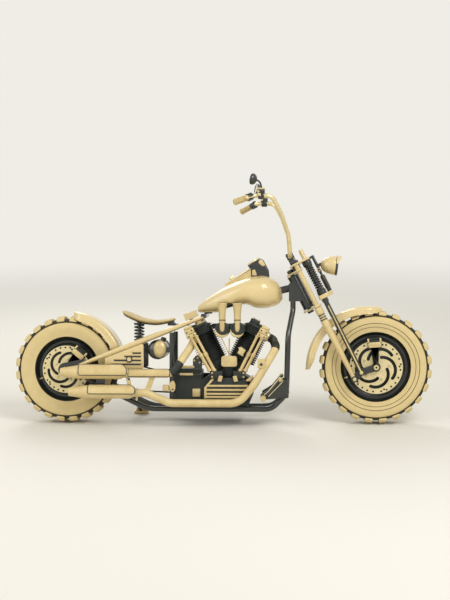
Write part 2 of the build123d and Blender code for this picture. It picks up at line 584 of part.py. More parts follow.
# Intake: a manifold bridging both heads, two round bowls and their upright stacks
BOWL_IN, BOWL_OUT, BOWL_R, BOWL_Z, STACK_Y = -118.0, -178.0, 43.0, 530.0, -150.0
bridge_ports = [bank_point(-1, 350, -HEAD_HALF)[::2], bank_point(-1, 380, -HEAD_HALF)[::2],
                bank_point(1, 380, -HEAD_HALF)[::2], bank_point(1, 350, -HEAD_HALF)[::2]]
stacks = [slab(bridge_ports, -60, 30), block((CRANK_X - 37, BOWL_IN - 2, 518), (CRANK_X + 73, -40, 560))]
for x in (CRANK_X - 24, CRANK_X + 61):
    stacks.append(rod((x, BOWL_IN, BOWL_Z), (x, BOWL_OUT, BOWL_Z), BOWL_R))
    stacks.append(turned((x, STACK_Y, BOWL_Z), (0, 0, 1),
                         [(0, 22), (50, 22), (73, 17), (120, 24), (144, 26)]))
joined("intake", *stacks)
joined("ignition_box", block((CRANK_X - 42, -155, 322), (CRANK_X + 48, -95, 389)),
       block((CRANK_X - 15, -95, 266), (CRANK_X + 29, CASE_RIGHT, 384)))

# Exhaust
LOWER_MUFFLER_X, LOWER_MUFFLER_LONG, UPPER_MUFFLER_X, UPPER_MUFFLER_LONG = 34.0, 367.0, -17.0, 369.0


def muffler(x, z, tail_r, body_r, length):
    """A muffler that opens from its tail at x and tapers to its pipe."""
    stations = [(0, tail_r), (93, body_r), (length - 22, body_r), (length, PIPE_R + 3)]
    return turned((x, PIPE_Y, z), (1, 0, 0), stations)


front_port = bank_point(1, 368, HEAD_HALF, -60)
front_route = [(LOWER_MUFFLER_X + LOWER_MUFFLER_LONG, PIPE_Y, LOWER_PIPE_Z), (470, PIPE_Y, LOWER_PIPE_Z),
               (CRANK_X - 315, PIPE_Y, LOW_RUN_Z), (CRANK_X + 70, PIPE_Y, LOW_RUN_Z),
               (CRANK_X + 155, PIPE_Y, 225),
               (CRANK_X + 279, -176, 434), bank_point(1, 368, HEAD_HALF + 40, -62), front_port]
joined("front_exhaust", tube(front_route, [120, 120, 110, 300, 45, 24], PIPE_R),
       muffler(LOWER_MUFFLER_X, LOWER_PIPE_Z, 24, LOWER_MUFFLER_R, LOWER_MUFFLER_LONG),
       cuts=[bank_box(1, (300, 440), (-60, HEAD_HALF), (-160, 60))])
rear_route = [(UPPER_MUFFLER_X + UPPER_MUFFLER_LONG, PIPE_Y, UPPER_PIPE_Z),
              (CRANK_X - 303, PIPE_Y, UPPER_PIPE_Z),
              (CRANK_X - 260, -178, 345), (CRANK_X - 202, -100, 437), (CRANK_X - 178, -94, 493)]
joined("rear_exhaust", tube(rear_route, [70, 90, 60], PIPE_R),
       muffler(UPPER_MUFFLER_X, UPPER_PIPE_Z + 6, 23, UPPER_MUFFLER_R, UPPER_MUFFLER_LONG),
       cuts=[bank_box(-1, (BARREL_TOP, 440), (-60, HEAD_HALF), (-160, 60))])

# Tank: ruled sections from nose to tail, hollowed by a tunnel over the backbone
TANK_SECTIONS = (  # distance behind the downtubes, underside, top, half width, corner radius
    (31, 686, 768, 56, 36),
    (52, 664, 806, 104, 62),
    (118, 651, 836, 140, 86),
    (218, 648, 828, 145, 87),
    (318, 636, 790, 130, 75),
    (408, 625, 742, 98, 56),
    (473, 622, 694, 62, 34),
    (508, 636, 662, 26, 12),
)


def backbone_height(x):
    share = (x - BACKBONE_REAR_X) / (BACKBONE_FRONT_X - BACKBONE_REAR_X)
    return BACKBONE_REAR_Z + share * (BACKBONE_FRONT_Z - BACKBONE_REAR_Z)


backbone_slope = atan2(BACKBONE_FRONT_Z - BACKBONE_REAR_Z, BACKBONE_LONG)
tunnel_top = BACKBONE_R / cos(backbone_slope) + SEAT
TUNNEL_HALF = 30.0
tunnel_ends = (BACKBONE_REAR_X - 30, DOWNTUBE_X - 8)
tunnel = ([(x, backbone_height(x) + tunnel_top) for x in tunnel_ends]
          + [(x, 560) for x in reversed(tunnel_ends)])
console_floor = from_neck([(353, 764), (92, 816)])
CONSOLE_HALF = 45.0
with BuildPart() as tank_body:
    for behind, low, high, half, corner in TANK_SECTIONS:
        with BuildSketch(Plane(origin=(DOWNTUBE_X - behind, 0, (low + high) / 2), x_dir=ALONG_Y,
                               z_dir=(1, 0, 0))):
            RectangleRounded(2 * half, high - low, corner)
    loft(ruled=True)
pocket = slab(console_floor + from_neck([(92, 900), (353, 900)]), -CONSOLE_HALF - SEAT, CONSOLE_HALF + SEAT)
joined("fuel_tank", tank_body.part, cuts=[slab(tunnel, -TUNNEL_HALF, TUNNEL_HALF), pocket])

DIAL_TILT, DIAL_R, DIAL_THICK = 31.7, 40.0, 9.0
dial_up = (-sin(radians(DIAL_TILT)), 0, cos(radians(DIAL_TILT)))
dial_base = (DOWNTUBE_X - 188, 0, 914)
console_outline = [console_floor[0]]
console_outline += from_neck([(348, 790), (212, 876), (222, 893), (152, 936), (129, 924), (99, 868)])
console_outline.append(console_floor[1])
filler_x = DOWNTUBE_X - 310
joined("tank_console", slab(console_outline, -CONSOLE_HALF, CONSOLE_HALF),
       rod((filler_x, 0, 800), (filler_x, 0, 852), 13))
joined("speedometer", rod(dial_base, tuple(Vector(*dial_base) + Vector(*dial_up) * DIAL_THICK), DIAL_R))

with BuildPart() as small_box:
    box_slope = (cos(radians(SEAT_BOX_TILT)), 0, sin(radians(SEAT_BOX_TILT)))
    with BuildSketch(Plane(origin=(SEAT_BOX_X, 45, SEAT_BOX_Z), x_dir=box_slope, z_dir=(0, -1, 0))):
        Rectangle(74, SEAT_BOX_HIGH)
    extrude(amount=90)
joined("seat_box", small_box.part)

# Seat: pad on a steel pan, carried by two springs and a pivot bracket
PAN_LINE = ((330, 607), (400, 580), (457, 567), (521, 567), (616, 588))
PAD_THICK, PAN_THICK = 29.0, 6.0
pan_low = [(x, z - PAN_THICK) for x, z in PAN_LINE]
pad_top = [(x - 4, z + PAD_THICK) for x, z in PAN_LINE]
seat_side = [(300, 70), (345, 112), (420, 128), (480, 110), (560, 56), (630, 44)]
seat_plan = seat_side + [(x, -y) for x, y in reversed(seat_side)]


def seat_layer(low_line, high_line, grow):
    """The seat's plan outline between two lines seen from the side."""
    side_view = slab(list(low_line) + list(reversed(high_line)), -150, 150)
    with BuildPart() as piece:
        with BuildSketch(Plane.XY.offset(400)):
            with BuildLine():
                Polyline(*seat_plan, close=True)
            make_face()
            offset(amount=grow, kind=Kind.INTERSECTION)
        extrude(amount=400)
        add(side_view, mode=Mode.INTERSECT)
    return piece.part


joined("seat_pad", seat_layer(PAN_LINE, pad_top, 0))
SEAT_SPRING_Y, SEAT_SPRING_R = 75.0, 22.0
spring_stations = [(0, SEAT_SPRING_R), (140, SEAT_SPRING_R)]
springs = [turned((SEAT_BAR_X + 12, side * SEAT_SPRING_Y, spring_foot), (0, 0, 1), spring_stations)
           for side in (1, -1)]
above_pan = slab([(300, 700)] + list(PAN_LINE) + [(620, 700)], -150, 150)
joined("seat_pan", seat_layer(pan_low, PAN_LINE, -6), block((590, -30, 552), (612, 30, 581)),
       block((592, -30, 552), (SEAT_BOX_X - 12, 30, 560)), *springs, cuts=[above_pan])


# Fenders: a U section swept about its own centre
def make_fender(centre, radius, half, skirt, start, arc, label, stays_out, lug_at):
    wall, corner = FENDER_WALL, FENDER_CORNER
    right = [(0, radius), (half - corner, radius), (half, radius - corner), (half, radius - skirt)]
    inner = [(half - wall, radius - skirt), (half - wall, radius - corner - 2),
             (half - corner - 2, radius - wall)]
    outline = right + inner + [(-y, r) for y, r in reversed(right[1:] + inner)]
    shell = ring_section(centre, outline, start, arc)
    lug_x, lug_z = lug_at
    lugs = [block((lug_x - 12, min(side * (half - 2), side * stays_out), lug_z - 12),
                  (lug_x + 12, max(side * (half - 2), side * stays_out), lug_z + 12)) for side in (1, -1)]
    return joined(label, shell, *lugs)


make_fender(REAR_AXLE, REAR_FENDER_R, REAR_FENDER_HALF, REAR_SKIRT, 18, 65, "rear_fender",
            RAIL_Y - stay_radius(285) - SEAT, (285, stay_height(285)))
make_fender((WHEELBASE - FRONT_FENDER_BACK, FRONT_AXLE[1] - FRONT_FENDER_DROP), FRONT_FENDER_R,
            FRONT_FENDER_HALF,
            FRONT_SKIRT, 80, 102, "front_fender", LEG_Y - LEG_COLLAR_R - SEAT, fork_point(338, 0)[::2])

# Oil tank across the frame, side covers under the stays
OIL_X, OIL_Z, OIL_R = 520.0, 417.0, 54.0
oil_stations = [(0, OIL_R - 20), (8, OIL_R - 6), (20, OIL_R), (216, OIL_R), (228, OIL_R - 6),
                (236, OIL_R - 20)]
oil_lug_end = SEAT_TUBE_X - SEAT_TUBE_R - SEAT
oil_lugs = [block((OIL_X, y, OIL_Z - 16), (oil_lug_end, y + 26, OIL_Z + 16)) for y in (108, -134)]
joined("oil_tank", turned((OIL_X, -118, OIL_Z), ALONG_Y, oil_stations), *oil_lugs)
cover_top = [(x, under_stay(x)) for x in (446, 228)]
cover_outline = [(228, 310), (446, 310)] + cover_top
joined("side_covers", slab(cover_outline, -134, -114), slab(cover_outline, 114, 134))

# Forward controls, one set each side on the downtubes
controls = []
for side in (1, -1):
    near = side * (RAIL_Y + RAIL_R + SEAT)
    far = side * 152
    mount = from_neck([(20, 150), (-14, 150), (-14, 250), (18, 250), (143, 172), (143, 140)])
    controls.append(slab(mount, min(near, far), max(near, far)))
    peg_x, pedal_x = DOWNTUBE_X - 127, DOWNTUBE_X - 31
    controls.append(rod((peg_x, near, 152), (peg_x, side * 250, 152), 15))
    controls.append(rod((peg_x, side * 158, 152), (pedal_x, side * 158, 257), 7))
    controls.append(rod((pedal_x, side * 150, 257), (pedal_x, side * 215, 257), 11))
joined("foot_controls", *controls)

# Side stand: boss, leg and a foot that lies flat on the floor
foot_plane = Plane(origin=(STAND_FOOT_X, STAND_FOOT_Y, foot_z), x_dir=(1, 0, 0), z_dir=floor_up)
with BuildPart() as stand_foot:
    with BuildSketch(foot_plane):
        RectangleRounded(86, 42, 12)
    extrude(amount=16)
boss_ends = [tuple(pivot + STAND_AXIS * end) for end in (-STAND_BOSS / 2, STAND_BOSS / 2)]
pin_ends = [tuple(pivot + STAND_AXIS * end) for end in (-STAND_BOSS, STAND_BOSS)]
joined("side_stand", stand_foot.part, rod(tuple(foot_top), tuple(pivot), STAND_LEG_R),
       rod(*boss_ends, STAND_BOSS_R),
       cuts=[rod(*pin_ends, STAND_PIN_R + RUN)])

# Fork: rigid rear legs, trees, sprung front legs, rockers
fork_legs = []
for side in (1, -1):
    foot = fork_point(0, 0, side * LEG_Y)
    stations = [(0, LEG_FOOT_R), (40, LEG_FOOT_R), (120, LEG_LOWER_R), (330, LEG_LOWER_R + 1),
                (330, LEG_COLLAR_R),
                (368, LEG_COLLAR_R), (368, 18), (408, 18), (408, LEG_COLLAR_R), (LOWER_TREE_S, LEG_COLLAR_R),
                (LOWER_TREE_S, LEG_UPPER_R), (TOP_PLATE_S + 14, LEG_UPPER_R)]
    fork_legs.append(turned(foot, LEG_UP, stations))
    fork_legs.append(rod((foot[0], side * 110, foot[2]), (foot[0], side * 140, foot[2]), 20))
pin_cuts = [rod((LEG_FOOT_X, -200, LEG_FOOT_Z), (LEG_FOOT_X, 200, LEG_FOOT_Z), PIN_R + RUN)]
joined("fork_rear_legs", *fork_legs, cuts=pin_cuts)

leg_holes = [rod(fork_point(LOWER_TREE_S, 0, y), fork_point(900, 0, y), LEG_UPPER_R + RUN)
             for y in (LEG_Y, -LEG_Y)]
TREE_HALF = 152.0
lower_tree = [fork_box(LOWER_TREE_S, LOWER_TREE_S + TREE_THICK, -84, 22, -TREE_HALF, TREE_HALF),
              rod(fork_point(LOWER_TREE_S, -STEM_BEHIND), fork_point(UPPER_TREE_S + 2, -STEM_BEHIND), STEM_R)]
bar_centre = fork_point(BAR_CLAMP_S, BAR_CLAMP_E)
risers = [fork_box(TOP_PLATE_S + 14, BAR_CLAMP_S + 20, BAR_CLAMP_E - 19, BAR_CLAMP_E + 19, y - 13, y + 13)
          for y in (RISER_Y, -RISER_Y)]
joined(
    "fork_trees",
    *lower_tree,
    fork_box(UPPER_TREE_S, UPPER_TREE_S + TREE_THICK, -76, 22, -TREE_HALF, TREE_HALF),
    fork_box(TOP_PLATE_S, TOP_PLATE_S + 14, -40, 86, -TREE_HALF, TREE_HALF),
    fork_box(UPPER_TREE_S, TOP_PLATE_S + 14, -30, 20, -60, 60),
    fork_box(TOP_PLATE_S, TOP_PLATE_S + 14, 80, ARM_E, -16, 16),
    fork_box(626, TOP_PLATE_S + 14, 96, ARM_E, -16, 16),
    *risers,
    cuts=leg_holes + [rod((bar_centre[0], -200, bar_centre[2]), (bar_centre[0], 200, bar_centre[2]),
                          BAR_R + RUN)],
)

front_legs = []


def front_foot(y):
    return (FRONT_LEG_FOOT_X, y, FRONT_LEG_FOOT_Z)


for side in (1, -1):
    front_legs.append(rod(fork_point(PERCH_S, PERCH_E, side * LEG_Y), front_foot(side * LEG_Y), FRONT_LEG_R))
    front_legs.append(rod(front_foot(side * 110), front_foot(side * 140), 17))
front_legs.append(fork_box(PERCH_S, PERCH_S + PERCH_THICK, PERCH_E - 28, PERCH_E + 28, -LEG_Y - 16,
                           LEG_Y + 16))
front_legs.append(fork_box(PERCH_S, PERCH_S + PERCH_THICK, PERCH_E + 20, DAMPER_E + 16, -16, 16))
joined("fork_front_legs", *front_legs, cuts=[rod(front_foot(-200), front_foot(200), PIN_R + RUN)])

spring_low = PERCH_S + PERCH_THICK
spring_cup = SPRING_R + 2
fork_spring_stations = [(spring_low, spring_cup), (spring_low + 22, spring_cup), (spring_low + 22, SPRING_R),
                        (TOP_PLATE_S - 22, SPRING_R), (TOP_PLATE_S - 22, spring_cup),
                        (TOP_PLATE_S, spring_cup)]
damper_stations = [(spring_low, 11), (spring_low + 24, 11), (spring_low + 24, DAMPER_R), (612, DAMPER_R),
                   (612, 8),
                   (626, 8)]
springs = [turned(fork_point(0, DAMPER_E), LEG_UP, damper_stations)]
for side in (1, -1):
    foot = fork_point(0, SPRING_E, side * SPRING_Y)
    springs.append(turned(foot, LEG_UP, fork_spring_stations))
    springs.append(turned(foot, LEG_UP,
                          [(TOP_PLATE_S + 14, 14), (TOP_PLATE_S + 66, 14), (TOP_PLATE_S + 72, 9)]))
joined("fork_springs", *springs)

rockers = []
for side in (1, -1):
    route = [(LEG_FOOT_X, LEG_FOOT_Z), (FRONT_LEG_FOOT_X, FRONT_LEG_FOOT_Z), FRONT_AXLE]
    for (x0, z0), (x1, z1) in zip(route, route[1:]):
        run = Vector(x1 - x0, 0, z1 - z0)
        with BuildPart() as plate:
            middle = ((x0 + x1) / 2, side * ROCKER_IN, (z0 + z1) / 2)
            with BuildSketch(Plane(origin=middle, x_dir=run, z_dir=(0, side, 0))):
                SlotCenterToCenter(run.length, 2 * ROCKER_R)
            extrude(amount=ROCKER_OUT - ROCKER_IN)
        rockers.append(plate.part)
    for x, z in route[:2]:
        rockers.append(rod((x, side * (ROCKER_OUT - 2), z), (x, side * 144, z), PIN_R))
        rockers.append(rod((x, side * (ROCKER_OUT - 2), z), (x, side * (110 - SEAT), z), 13))
axle_hole = rod((FRONT_AXLE[0], -200, FRONT_AXLE[1]), (FRONT_AXLE[0], 200, FRONT_AXLE[1]), AXLE_R + RUN)
joined("fork_rockers", *rockers, cuts=[axle_hole])

# Headlight: bucket with a visor, lens in its mouth, on an arm from the damper bracket
lamp_dir = (cos(radians(LAMP_TILT)), 0, sin(radians(LAMP_TILT)))
lamp_back = fork_point(LAMP_S, LAMP_E)
LAMP_MOUTH_R, LAMP_SEAT = 50.0, 78.0
bucket_stations = [(0, 12), (5, 30), (26, 50), (54, 58), (86, LAMP_MOUTH_R + 10), (92, LAMP_MOUTH_R + 7)]
lens_r = LAMP_MOUTH_R - SEAT
joined("headlight_bucket", turned(lamp_back, lamp_dir, bucket_stations),
       rod(fork_point(LAMP_S + 4, ARM_E), fork_point(LAMP_S + 4, ARM_E + 36), 9),
       cuts=[turned(lamp_back, lamp_dir, [(LAMP_SEAT, LAMP_MOUTH_R), (120, LAMP_MOUTH_R)])])
joined("headlight_lens", turned(lamp_back, lamp_dir, [(LAMP_SEAT, lens_r), (88, lens_r), (96, 36), (99, 14)]))

# Handlebar, grips and hand controls
bar_half = ([(bar_centre[0], -86, bar_centre[2])]
            + [(LEG_FOOT_X - behind, -y, z) for behind, y, z in BAR_ROUTE])
bar_other = [(x, -y, z) for x, y, z in bar_half]
bar_route = list(reversed(bar_half)) + bar_other
bar_bends = [38, 40, 150, 200, 50, 50, 200, 150, 40, 38]
joined("handlebar", tube(bar_route, bar_bends, BAR_R))
grips, perches = [], []
for side in (-1, 1):
    root, tip = [Vector(LEG_FOOT_X - behind, side * y, z) for behind, y, z in BAR_ROUTE[-2:]]
    back = (root - tip).normalized()
    grips.append(rod(tuple(tip - back * 6), tuple(tip + back * 96), GRIP_R))
    perch_x = root.X + PERCH_AHEAD
    perches.append(block((perch_x - 17, root.Y - 18, PERCH_TOP - 40), (perch_x + 17, root.Y + 18, PERCH_TOP)))
    perches.append(rod((perch_x, root.Y, PERCH_TOP - 5), (perch_x - 73, root.Y + side * 78, PERCH_TOP - 38),
                       5))
    face = (-0.9, -side * 0.3, 0.2)
    mirror = (perch_x - 17, root.Y + side * 32, PERCH_TOP + 68)
    perches.append(turned(mirror, face, [(0, 14), (8, 30), (18, 36), (30, 36)]))
    perches.append(rod((perch_x, root.Y, PERCH_TOP - 10),
                       (mirror[0] - 4, mirror[1] - side * 2, mirror[2] - 4), 5))
bar_holes = [tube(bar_route, bar_bends, BAR_R + RUN)]
joined("grips", *grips, cuts=bar_holes)
joined("hand_controls", *perches, cuts=bar_holes)


# Park the machine: lean it onto the stand, then put the origin under the middle of its box
leaned = {name: piece.moved(Location((0, 0, 0), (-LEAN, 0, 0))) for name, piece in pieces.items()}
boxes = [piece.bounding_box() for piece in leaned.values()]
middle_x = (min(b.min.X for b in boxes) + max(b.max.X for b in boxes)) / 2
middle_y = (min(b.min.Y for b in boxes) + max(b.max.Y for b in boxes)) / 2
PARK = Location((-middle_x, -middle_y, 0))

os.makedirs("parts", exist_ok=True)
for name, piece in leaned.items():
    parked = piece.moved(PARK)
    parked.label = name
    export_step(parked, f"parts/{name}.step")
print("park", round(middle_x, 3), round(middle_y, 3), "floor", round(min(b.min.Z for b in boxes), 3))
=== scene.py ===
"""Looks of a bobber motorcycle with a springer fork, parked on its side stand.

Lengths are in millimetres in the upright frame of the machine: X forwards from the rear axle, Y to
the rider's left, Z up from the tyres' contact line. parked() leans them onto the stand, in metres.
"""
import json
import math

import bmesh
import bpy
import numpy as np
from mathutils import Matrix, Vector


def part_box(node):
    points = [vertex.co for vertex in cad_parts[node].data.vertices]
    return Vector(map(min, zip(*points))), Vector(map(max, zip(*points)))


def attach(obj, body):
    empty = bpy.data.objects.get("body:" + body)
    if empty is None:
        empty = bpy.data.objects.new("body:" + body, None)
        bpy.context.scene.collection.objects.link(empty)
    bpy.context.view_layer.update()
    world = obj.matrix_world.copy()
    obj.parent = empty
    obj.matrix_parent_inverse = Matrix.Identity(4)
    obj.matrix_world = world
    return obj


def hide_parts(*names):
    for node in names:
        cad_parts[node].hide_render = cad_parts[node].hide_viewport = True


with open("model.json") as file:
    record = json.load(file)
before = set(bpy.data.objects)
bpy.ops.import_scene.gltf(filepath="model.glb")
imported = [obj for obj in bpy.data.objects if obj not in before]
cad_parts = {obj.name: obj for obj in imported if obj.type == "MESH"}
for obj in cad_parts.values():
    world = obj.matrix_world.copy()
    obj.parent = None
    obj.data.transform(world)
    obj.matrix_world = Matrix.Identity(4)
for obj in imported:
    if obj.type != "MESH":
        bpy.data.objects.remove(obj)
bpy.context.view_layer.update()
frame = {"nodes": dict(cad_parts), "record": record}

LEAN = math.radians(8.0)
WHEELBASE = 1750.0
TURN = 2 * math.pi
AHEAD, LEFT, RIGHT, UP = (1, 0, 0), (0, 1, 0), (0, -1, 0), (0, 0, 1)


# The lean and the middle of the box: both rims are centred on their axles, so they give the place
def box_middle(node):
    """The middle of a CAD node's box, in millimetres."""
    low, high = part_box(node)
    return np.array((low + high) / 2) * 1000


rear_centre, front_centre = box_middle("rear_rim"), box_middle("front_rim")
REAR_AXLE_Z = rear_centre[2] / math.cos(LEAN)
FRONT_AXLE_Z = front_centre[2] / math.cos(LEAN)
MIDDLE_X = -rear_centre[0]
MIDDLE_Y = REAR_AXLE_Z * math.sin(LEAN) - rear_centre[1]


def parked(points):
    """Turns points by the lean about X, moves them by the box's middle and gives metres."""
    x, y, z = np.moveaxis(np.asarray(points, float), -1, 0)
    across = y * math.cos(LEAN) + z * math.sin(LEAN) - MIDDLE_Y
    height = z * math.cos(LEAN) - y * math.sin(LEAN)
    return np.stack([x - MIDDLE_X, across, height], -1) / 1000


# Shapes: each function gives (points, faces) in millimetres in the upright frame
def unit(vector):
    """The vector at length 1."""
    return np.asarray(vector, float) / np.linalg.norm(vector)


def bearing(degrees):
    """The unit vector square to Y at an angle up from X."""
    angle = math.radians(degrees)
    return np.array((math.cos(angle), 0, math.sin(angle)))


def square_axes(direction):
    """Two unit vectors square to a direction and to each other."""
    direction = unit(direction)
    aside = LEFT if abs(direction[1]) < 0.9 else AHEAD
    first = unit(np.cross(direction, aside))
    return first, np.cross(direction, first)


def grid(points, wrap_rows=False, wrap_cols=False, caps=False):
    """Quads between neighbouring points of a grid; a wrapped side closes on itself."""
    rows, cols = points.shape[:2]
    index = np.arange(rows * cols).reshape(rows, cols)
    ends = [index[0].tolist(), index[-1][::-1].tolist()] if caps else []
    if wrap_rows:
        index = np.vstack([index, index[:1]])
    if wrap_cols:
        index = np.hstack([index, index[:, :1]])
    quads = np.stack([index[:-1, :-1], index[1:, :-1], index[1:, 1:], index[:-1, 1:]], -1)
    return points.reshape(-1, 3), quads.reshape(-1, 4).tolist() + ends


def eased(points, radius, steps=6, closed=False):
    """A line whose corners are arcs: an arc starts radius * tan(half the turn) from its corner."""
    p = np.asarray(points, float)
    before, after = np.roll(p, 1, 0) - p, np.roll(p, -1, 0) - p
    if not closed:
        before, after = before[1:-1], after[1:-1]
    corner = p if closed else p[1:-1]
    long_before = np.linalg.norm(before, axis=1, keepdims=True)
    long_after = np.linalg.norm(after, axis=1, keepdims=True)
    u, v = before / long_before, after / long_after
    turn = math.pi - np.arccos(np.clip((u * v).sum(1, keepdims=True), -1, 1))
    turn = np.maximum(turn, 1e-4)
    radii = np.broadcast_to(np.asarray(radius, float), (len(corner),))[:, None]
    cut = np.minimum(radii * np.tan(turn / 2), 0.499 * np.minimum(long_before, long_after))
    bend = cut / np.tan(turn / 2)
    towards = (u + v) / np.maximum(np.linalg.norm(u + v, axis=1, keepdims=True), 1e-9)
    centre = corner + towards * (bend / np.cos(turn / 2))
    start, end = corner + u * cut - centre, corner + v * cut - centre
    t = np.linspace(0, 1, steps)[None, :, None]
    wide = turn[:, :, None]
    arcs = np.sin((1 - t) * wide) * start[:, None] + np.sin(t * wide) * end[:, None]
    arcs = (centre[:, None] + arcs / np.sin(wide)).reshape(-1, p.shape[1])
    return arcs if closed else np.vstack([p[:1], arcs, p[-1:]])


def turned(start, direction, stations, sides=48, ease=0.0):
    """Circles of the stations' radii at their distances along the direction, joined and capped."""
    line = eased(stations, ease, 4) if ease else np.array(stations, float)
    first, second = square_axes(direction)
    angle = np.linspace(0, TURN, sides, endpoint=False)[:, None]
    circle = np.cos(angle) * first + np.sin(angle) * second
    middle = np.asarray(start, float) + line[:, :1] * unit(direction)
    return grid(middle[:, None] + line[:, 1:, None] * circle[None], wrap_cols=True, caps=True)


def ring(centre, outline, sides=128, ease=0.0, direction=LEFT):
    """A closed (distance along, radius) outline carried round an axis."""
    line = eased(outline, ease, 4, closed=True) if ease else np.array(outline, float)
    first, second = square_axes(direction)
    angle = np.linspace(0, TURN, sides, endpoint=False)[:, None]
    circle = np.cos(angle) * first + np.sin(angle) * second
    middle = np.asarray(centre, float) + line[:, :1] * unit(direction)
    points = middle[None] + line[None, :, 1:] * circle[:, None]
    return grid(points, wrap_rows=True, wrap_cols=True)


def swept(path, section, up=LEFT, closed=False, scale=None):
    """A closed section carried along a path; its first axis is up crossed with the path's run."""
    path, section = np.asarray(path, float), np.asarray(section, float)
    run = np.roll(path, -1, 0) - np.roll(path, 1, 0)
    if not closed:
        run[0], run[-1] = path[1] - path[0], path[-1] - path[-2]
    run /= np.linalg.norm(run, axis=1, keepdims=True)
    first = np.cross(np.broadcast_to(up, run.shape), run)
    first /= np.linalg.norm(first, axis=1, keepdims=True)
    second = np.cross(run, first)
    size = np.ones(len(path)) if scale is None else np.asarray(scale, float)
    offset = section[None, :, :1] * first[:, None] + section[None, :, 1:] * second[:, None]
    return grid(path[:, None] + offset * size[:, None, None], closed, True, caps=not closed)


def circle(radius, sides=20):
    """Points round a circle."""
    angle = np.linspace(0, TURN, sides, endpoint=False)
    return radius * np.stack([np.cos(angle), np.sin(angle)], -1)


def arc(radius, start, end, count):
    """Points of an arc between two angles, in degrees."""
    angle = np.radians(np.linspace(start, end, count))
    return radius * np.stack([np.cos(angle), np.sin(angle)], -1)


def tube(points, bends, radius, up=LEFT, sides=20, steps=10):
    """A round tube along straight runs and arcs."""
    path = eased(points, bends, steps) if len(points) > 2 else np.array(points, float)
    return swept(path, circle(radius, sides), up)


def coil(start, direction, length, radius, wire, turns, dead=0.6, per_turn=20):
    """Wire round a helix whose pitch is even but for a closed part-turn at each end."""
    t = np.linspace(0, 1, int(turns * per_turn))
    lift = np.clip((t * turns - dead) / (turns - 2 * dead), 0, 1) * (length - 2 * wire) + wire
    first, second = square_axes(direction)
    angle = (t * turns * TURN)[:, None]
    path = np.asarray(start, float) + lift[:, None] * unit(direction)
    path = path + radius * (np.cos(angle) * first + np.sin(angle) * second)
    return swept(path, circle(wire, 10), unit(direction))


def inset(outline, distance):
    """An outline moved inwards by a distance, square to its edges."""
    p = np.asarray(outline, float)
    before, after = p - np.roll(p, 1, 0), np.roll(p, -1, 0) - p
    before /= np.linalg.norm(before, axis=1, keepdims=True)
    after /= np.linalg.norm(after, axis=1, keepdims=True)
    area = (p[:, 0] * np.roll(p[:, 1], -1) - np.roll(p[:, 0], -1) * p[:, 1]).sum()
    turn = np.array([[0, 1], [-1, 0]]) * math.copysign(1, area)
    normal = before @ turn + after @ turn
    return p + normal * distance / np.maximum(1 + (before * after).sum(1, keepdims=True), 0.3)


def plate(outline, low, high, corner=3.0, ease=1.5, origin=(0, 0, 0), across=AHEAD, up=UP, steps=3):
    """An outline (across, up) made solid between two heights along up x across, its rims rounded."""
    line = eased(outline, corner, 5, closed=True) if corner else np.array(outline, float)
    angle = np.linspace(0, math.pi / 2, steps)
    inward, climb = ease * (1 - np.sin(angle)), ease * (1 - np.cos(angle))
    inward = np.concatenate([inward, inward[::-1]])
    height = np.concatenate([low + climb, high - climb[::-1]])
    rims = np.stack([inset(line, d) for d in inward])
    across, up = unit(across), unit(up)
    points = np.asarray(origin, float) + rims[..., :1] * across + rims[..., 1:] * up
    return grid(points + height[:, None, None] * np.cross(up, across), wrap_cols=True, caps=True)


def square(low, high, bottom, top):
    """The four corners of a rectangle."""
    return [(low, bottom), (high, bottom), (high, top), (low, top)]


def box(x_low, x_high, z_low, z_high, *heights_and_rounding, **axes):
    """A plate with four corners."""
    return plate(square(x_low, x_high, z_low, z_high), *heights_and_rounding, **axes)


def bolt(place, direction, radius, height):
    """A bolt head: a chamfered hexagon on a washer."""
    washer = [(0, radius * 1.35), (1.4, radius * 1.35), (1.6, radius * 1.3)]
    head = [(1.5, radius), (height - 1, radius), (height, radius * 0.84)]
    return join(turned(place, direction, washer, 20), turned(place, direction, head, 6))


def join(*shapes):
    """Several shapes as one."""
    points = np.vstack([shape[0] for shape in shapes])
    starts = np.cumsum([0] + [len(shape[0]) for shape in shapes[:-1]])
    faces = [[i + start for i in face] for shape, start in zip(shapes, starts) for face in shape[1]]
    return points, faces


def flipped(shape):
    """A shape's mirror image in the machine's middle plane; piece() turns its faces outwards."""
    return shape[0] * (1, -1, 1), shape[1]


def mirrored(*shapes):
    """Shapes with their mirror images."""
    both = []
    for shape in shapes:
        points, faces = flipped(shape)
        both += [shape, (points, [face[::-1] for face in faces])]
    return join(*both)


# Places along the fork and the cylinders
RAKE, BANK = 27.0, math.radians(25.0)
CRANK, LEG_FOOT = np.array((915.0, 0, 190.0)), np.array((1628.0, 0, 256.0))
LEG_UP, LEG_AHEAD = bearing(90 + RAKE), bearing(RAKE)


def fork_at(s, e, y=0.0):
    """A point S up the rigid legs, E ahead of them."""
    return LEG_FOOT + (0, y, 0) + s * LEG_UP + e * LEG_AHEAD


def bank_axes(side):
    """Unit vectors along a cylinder and outwards across it."""
    along = np.array((side * math.sin(BANK), 0, math.cos(BANK)))
    return along, np.array((side * math.cos(BANK), 0, -math.sin(BANK)))


def bank_at(side, s, c, y=0.0):
    """A point S along a cylinder's axis from the crank, C outwards across it."""
    along, out = bank_axes(side)
    return CRANK + along * s + out * c + (0, y, 0)


# Materials
FINISHES = {}


def linear(hex_colour):
    """sRGB hex to linear RGBA."""
    parts = [int(hex_colour[i:i + 2], 16) / 255 for i in (1, 3, 5)]
    return tuple(c / 12.92 if c <= 0.04045 else ((c + 0.055) / 1.055) ** 2.4 for c in parts) + (1.0,)


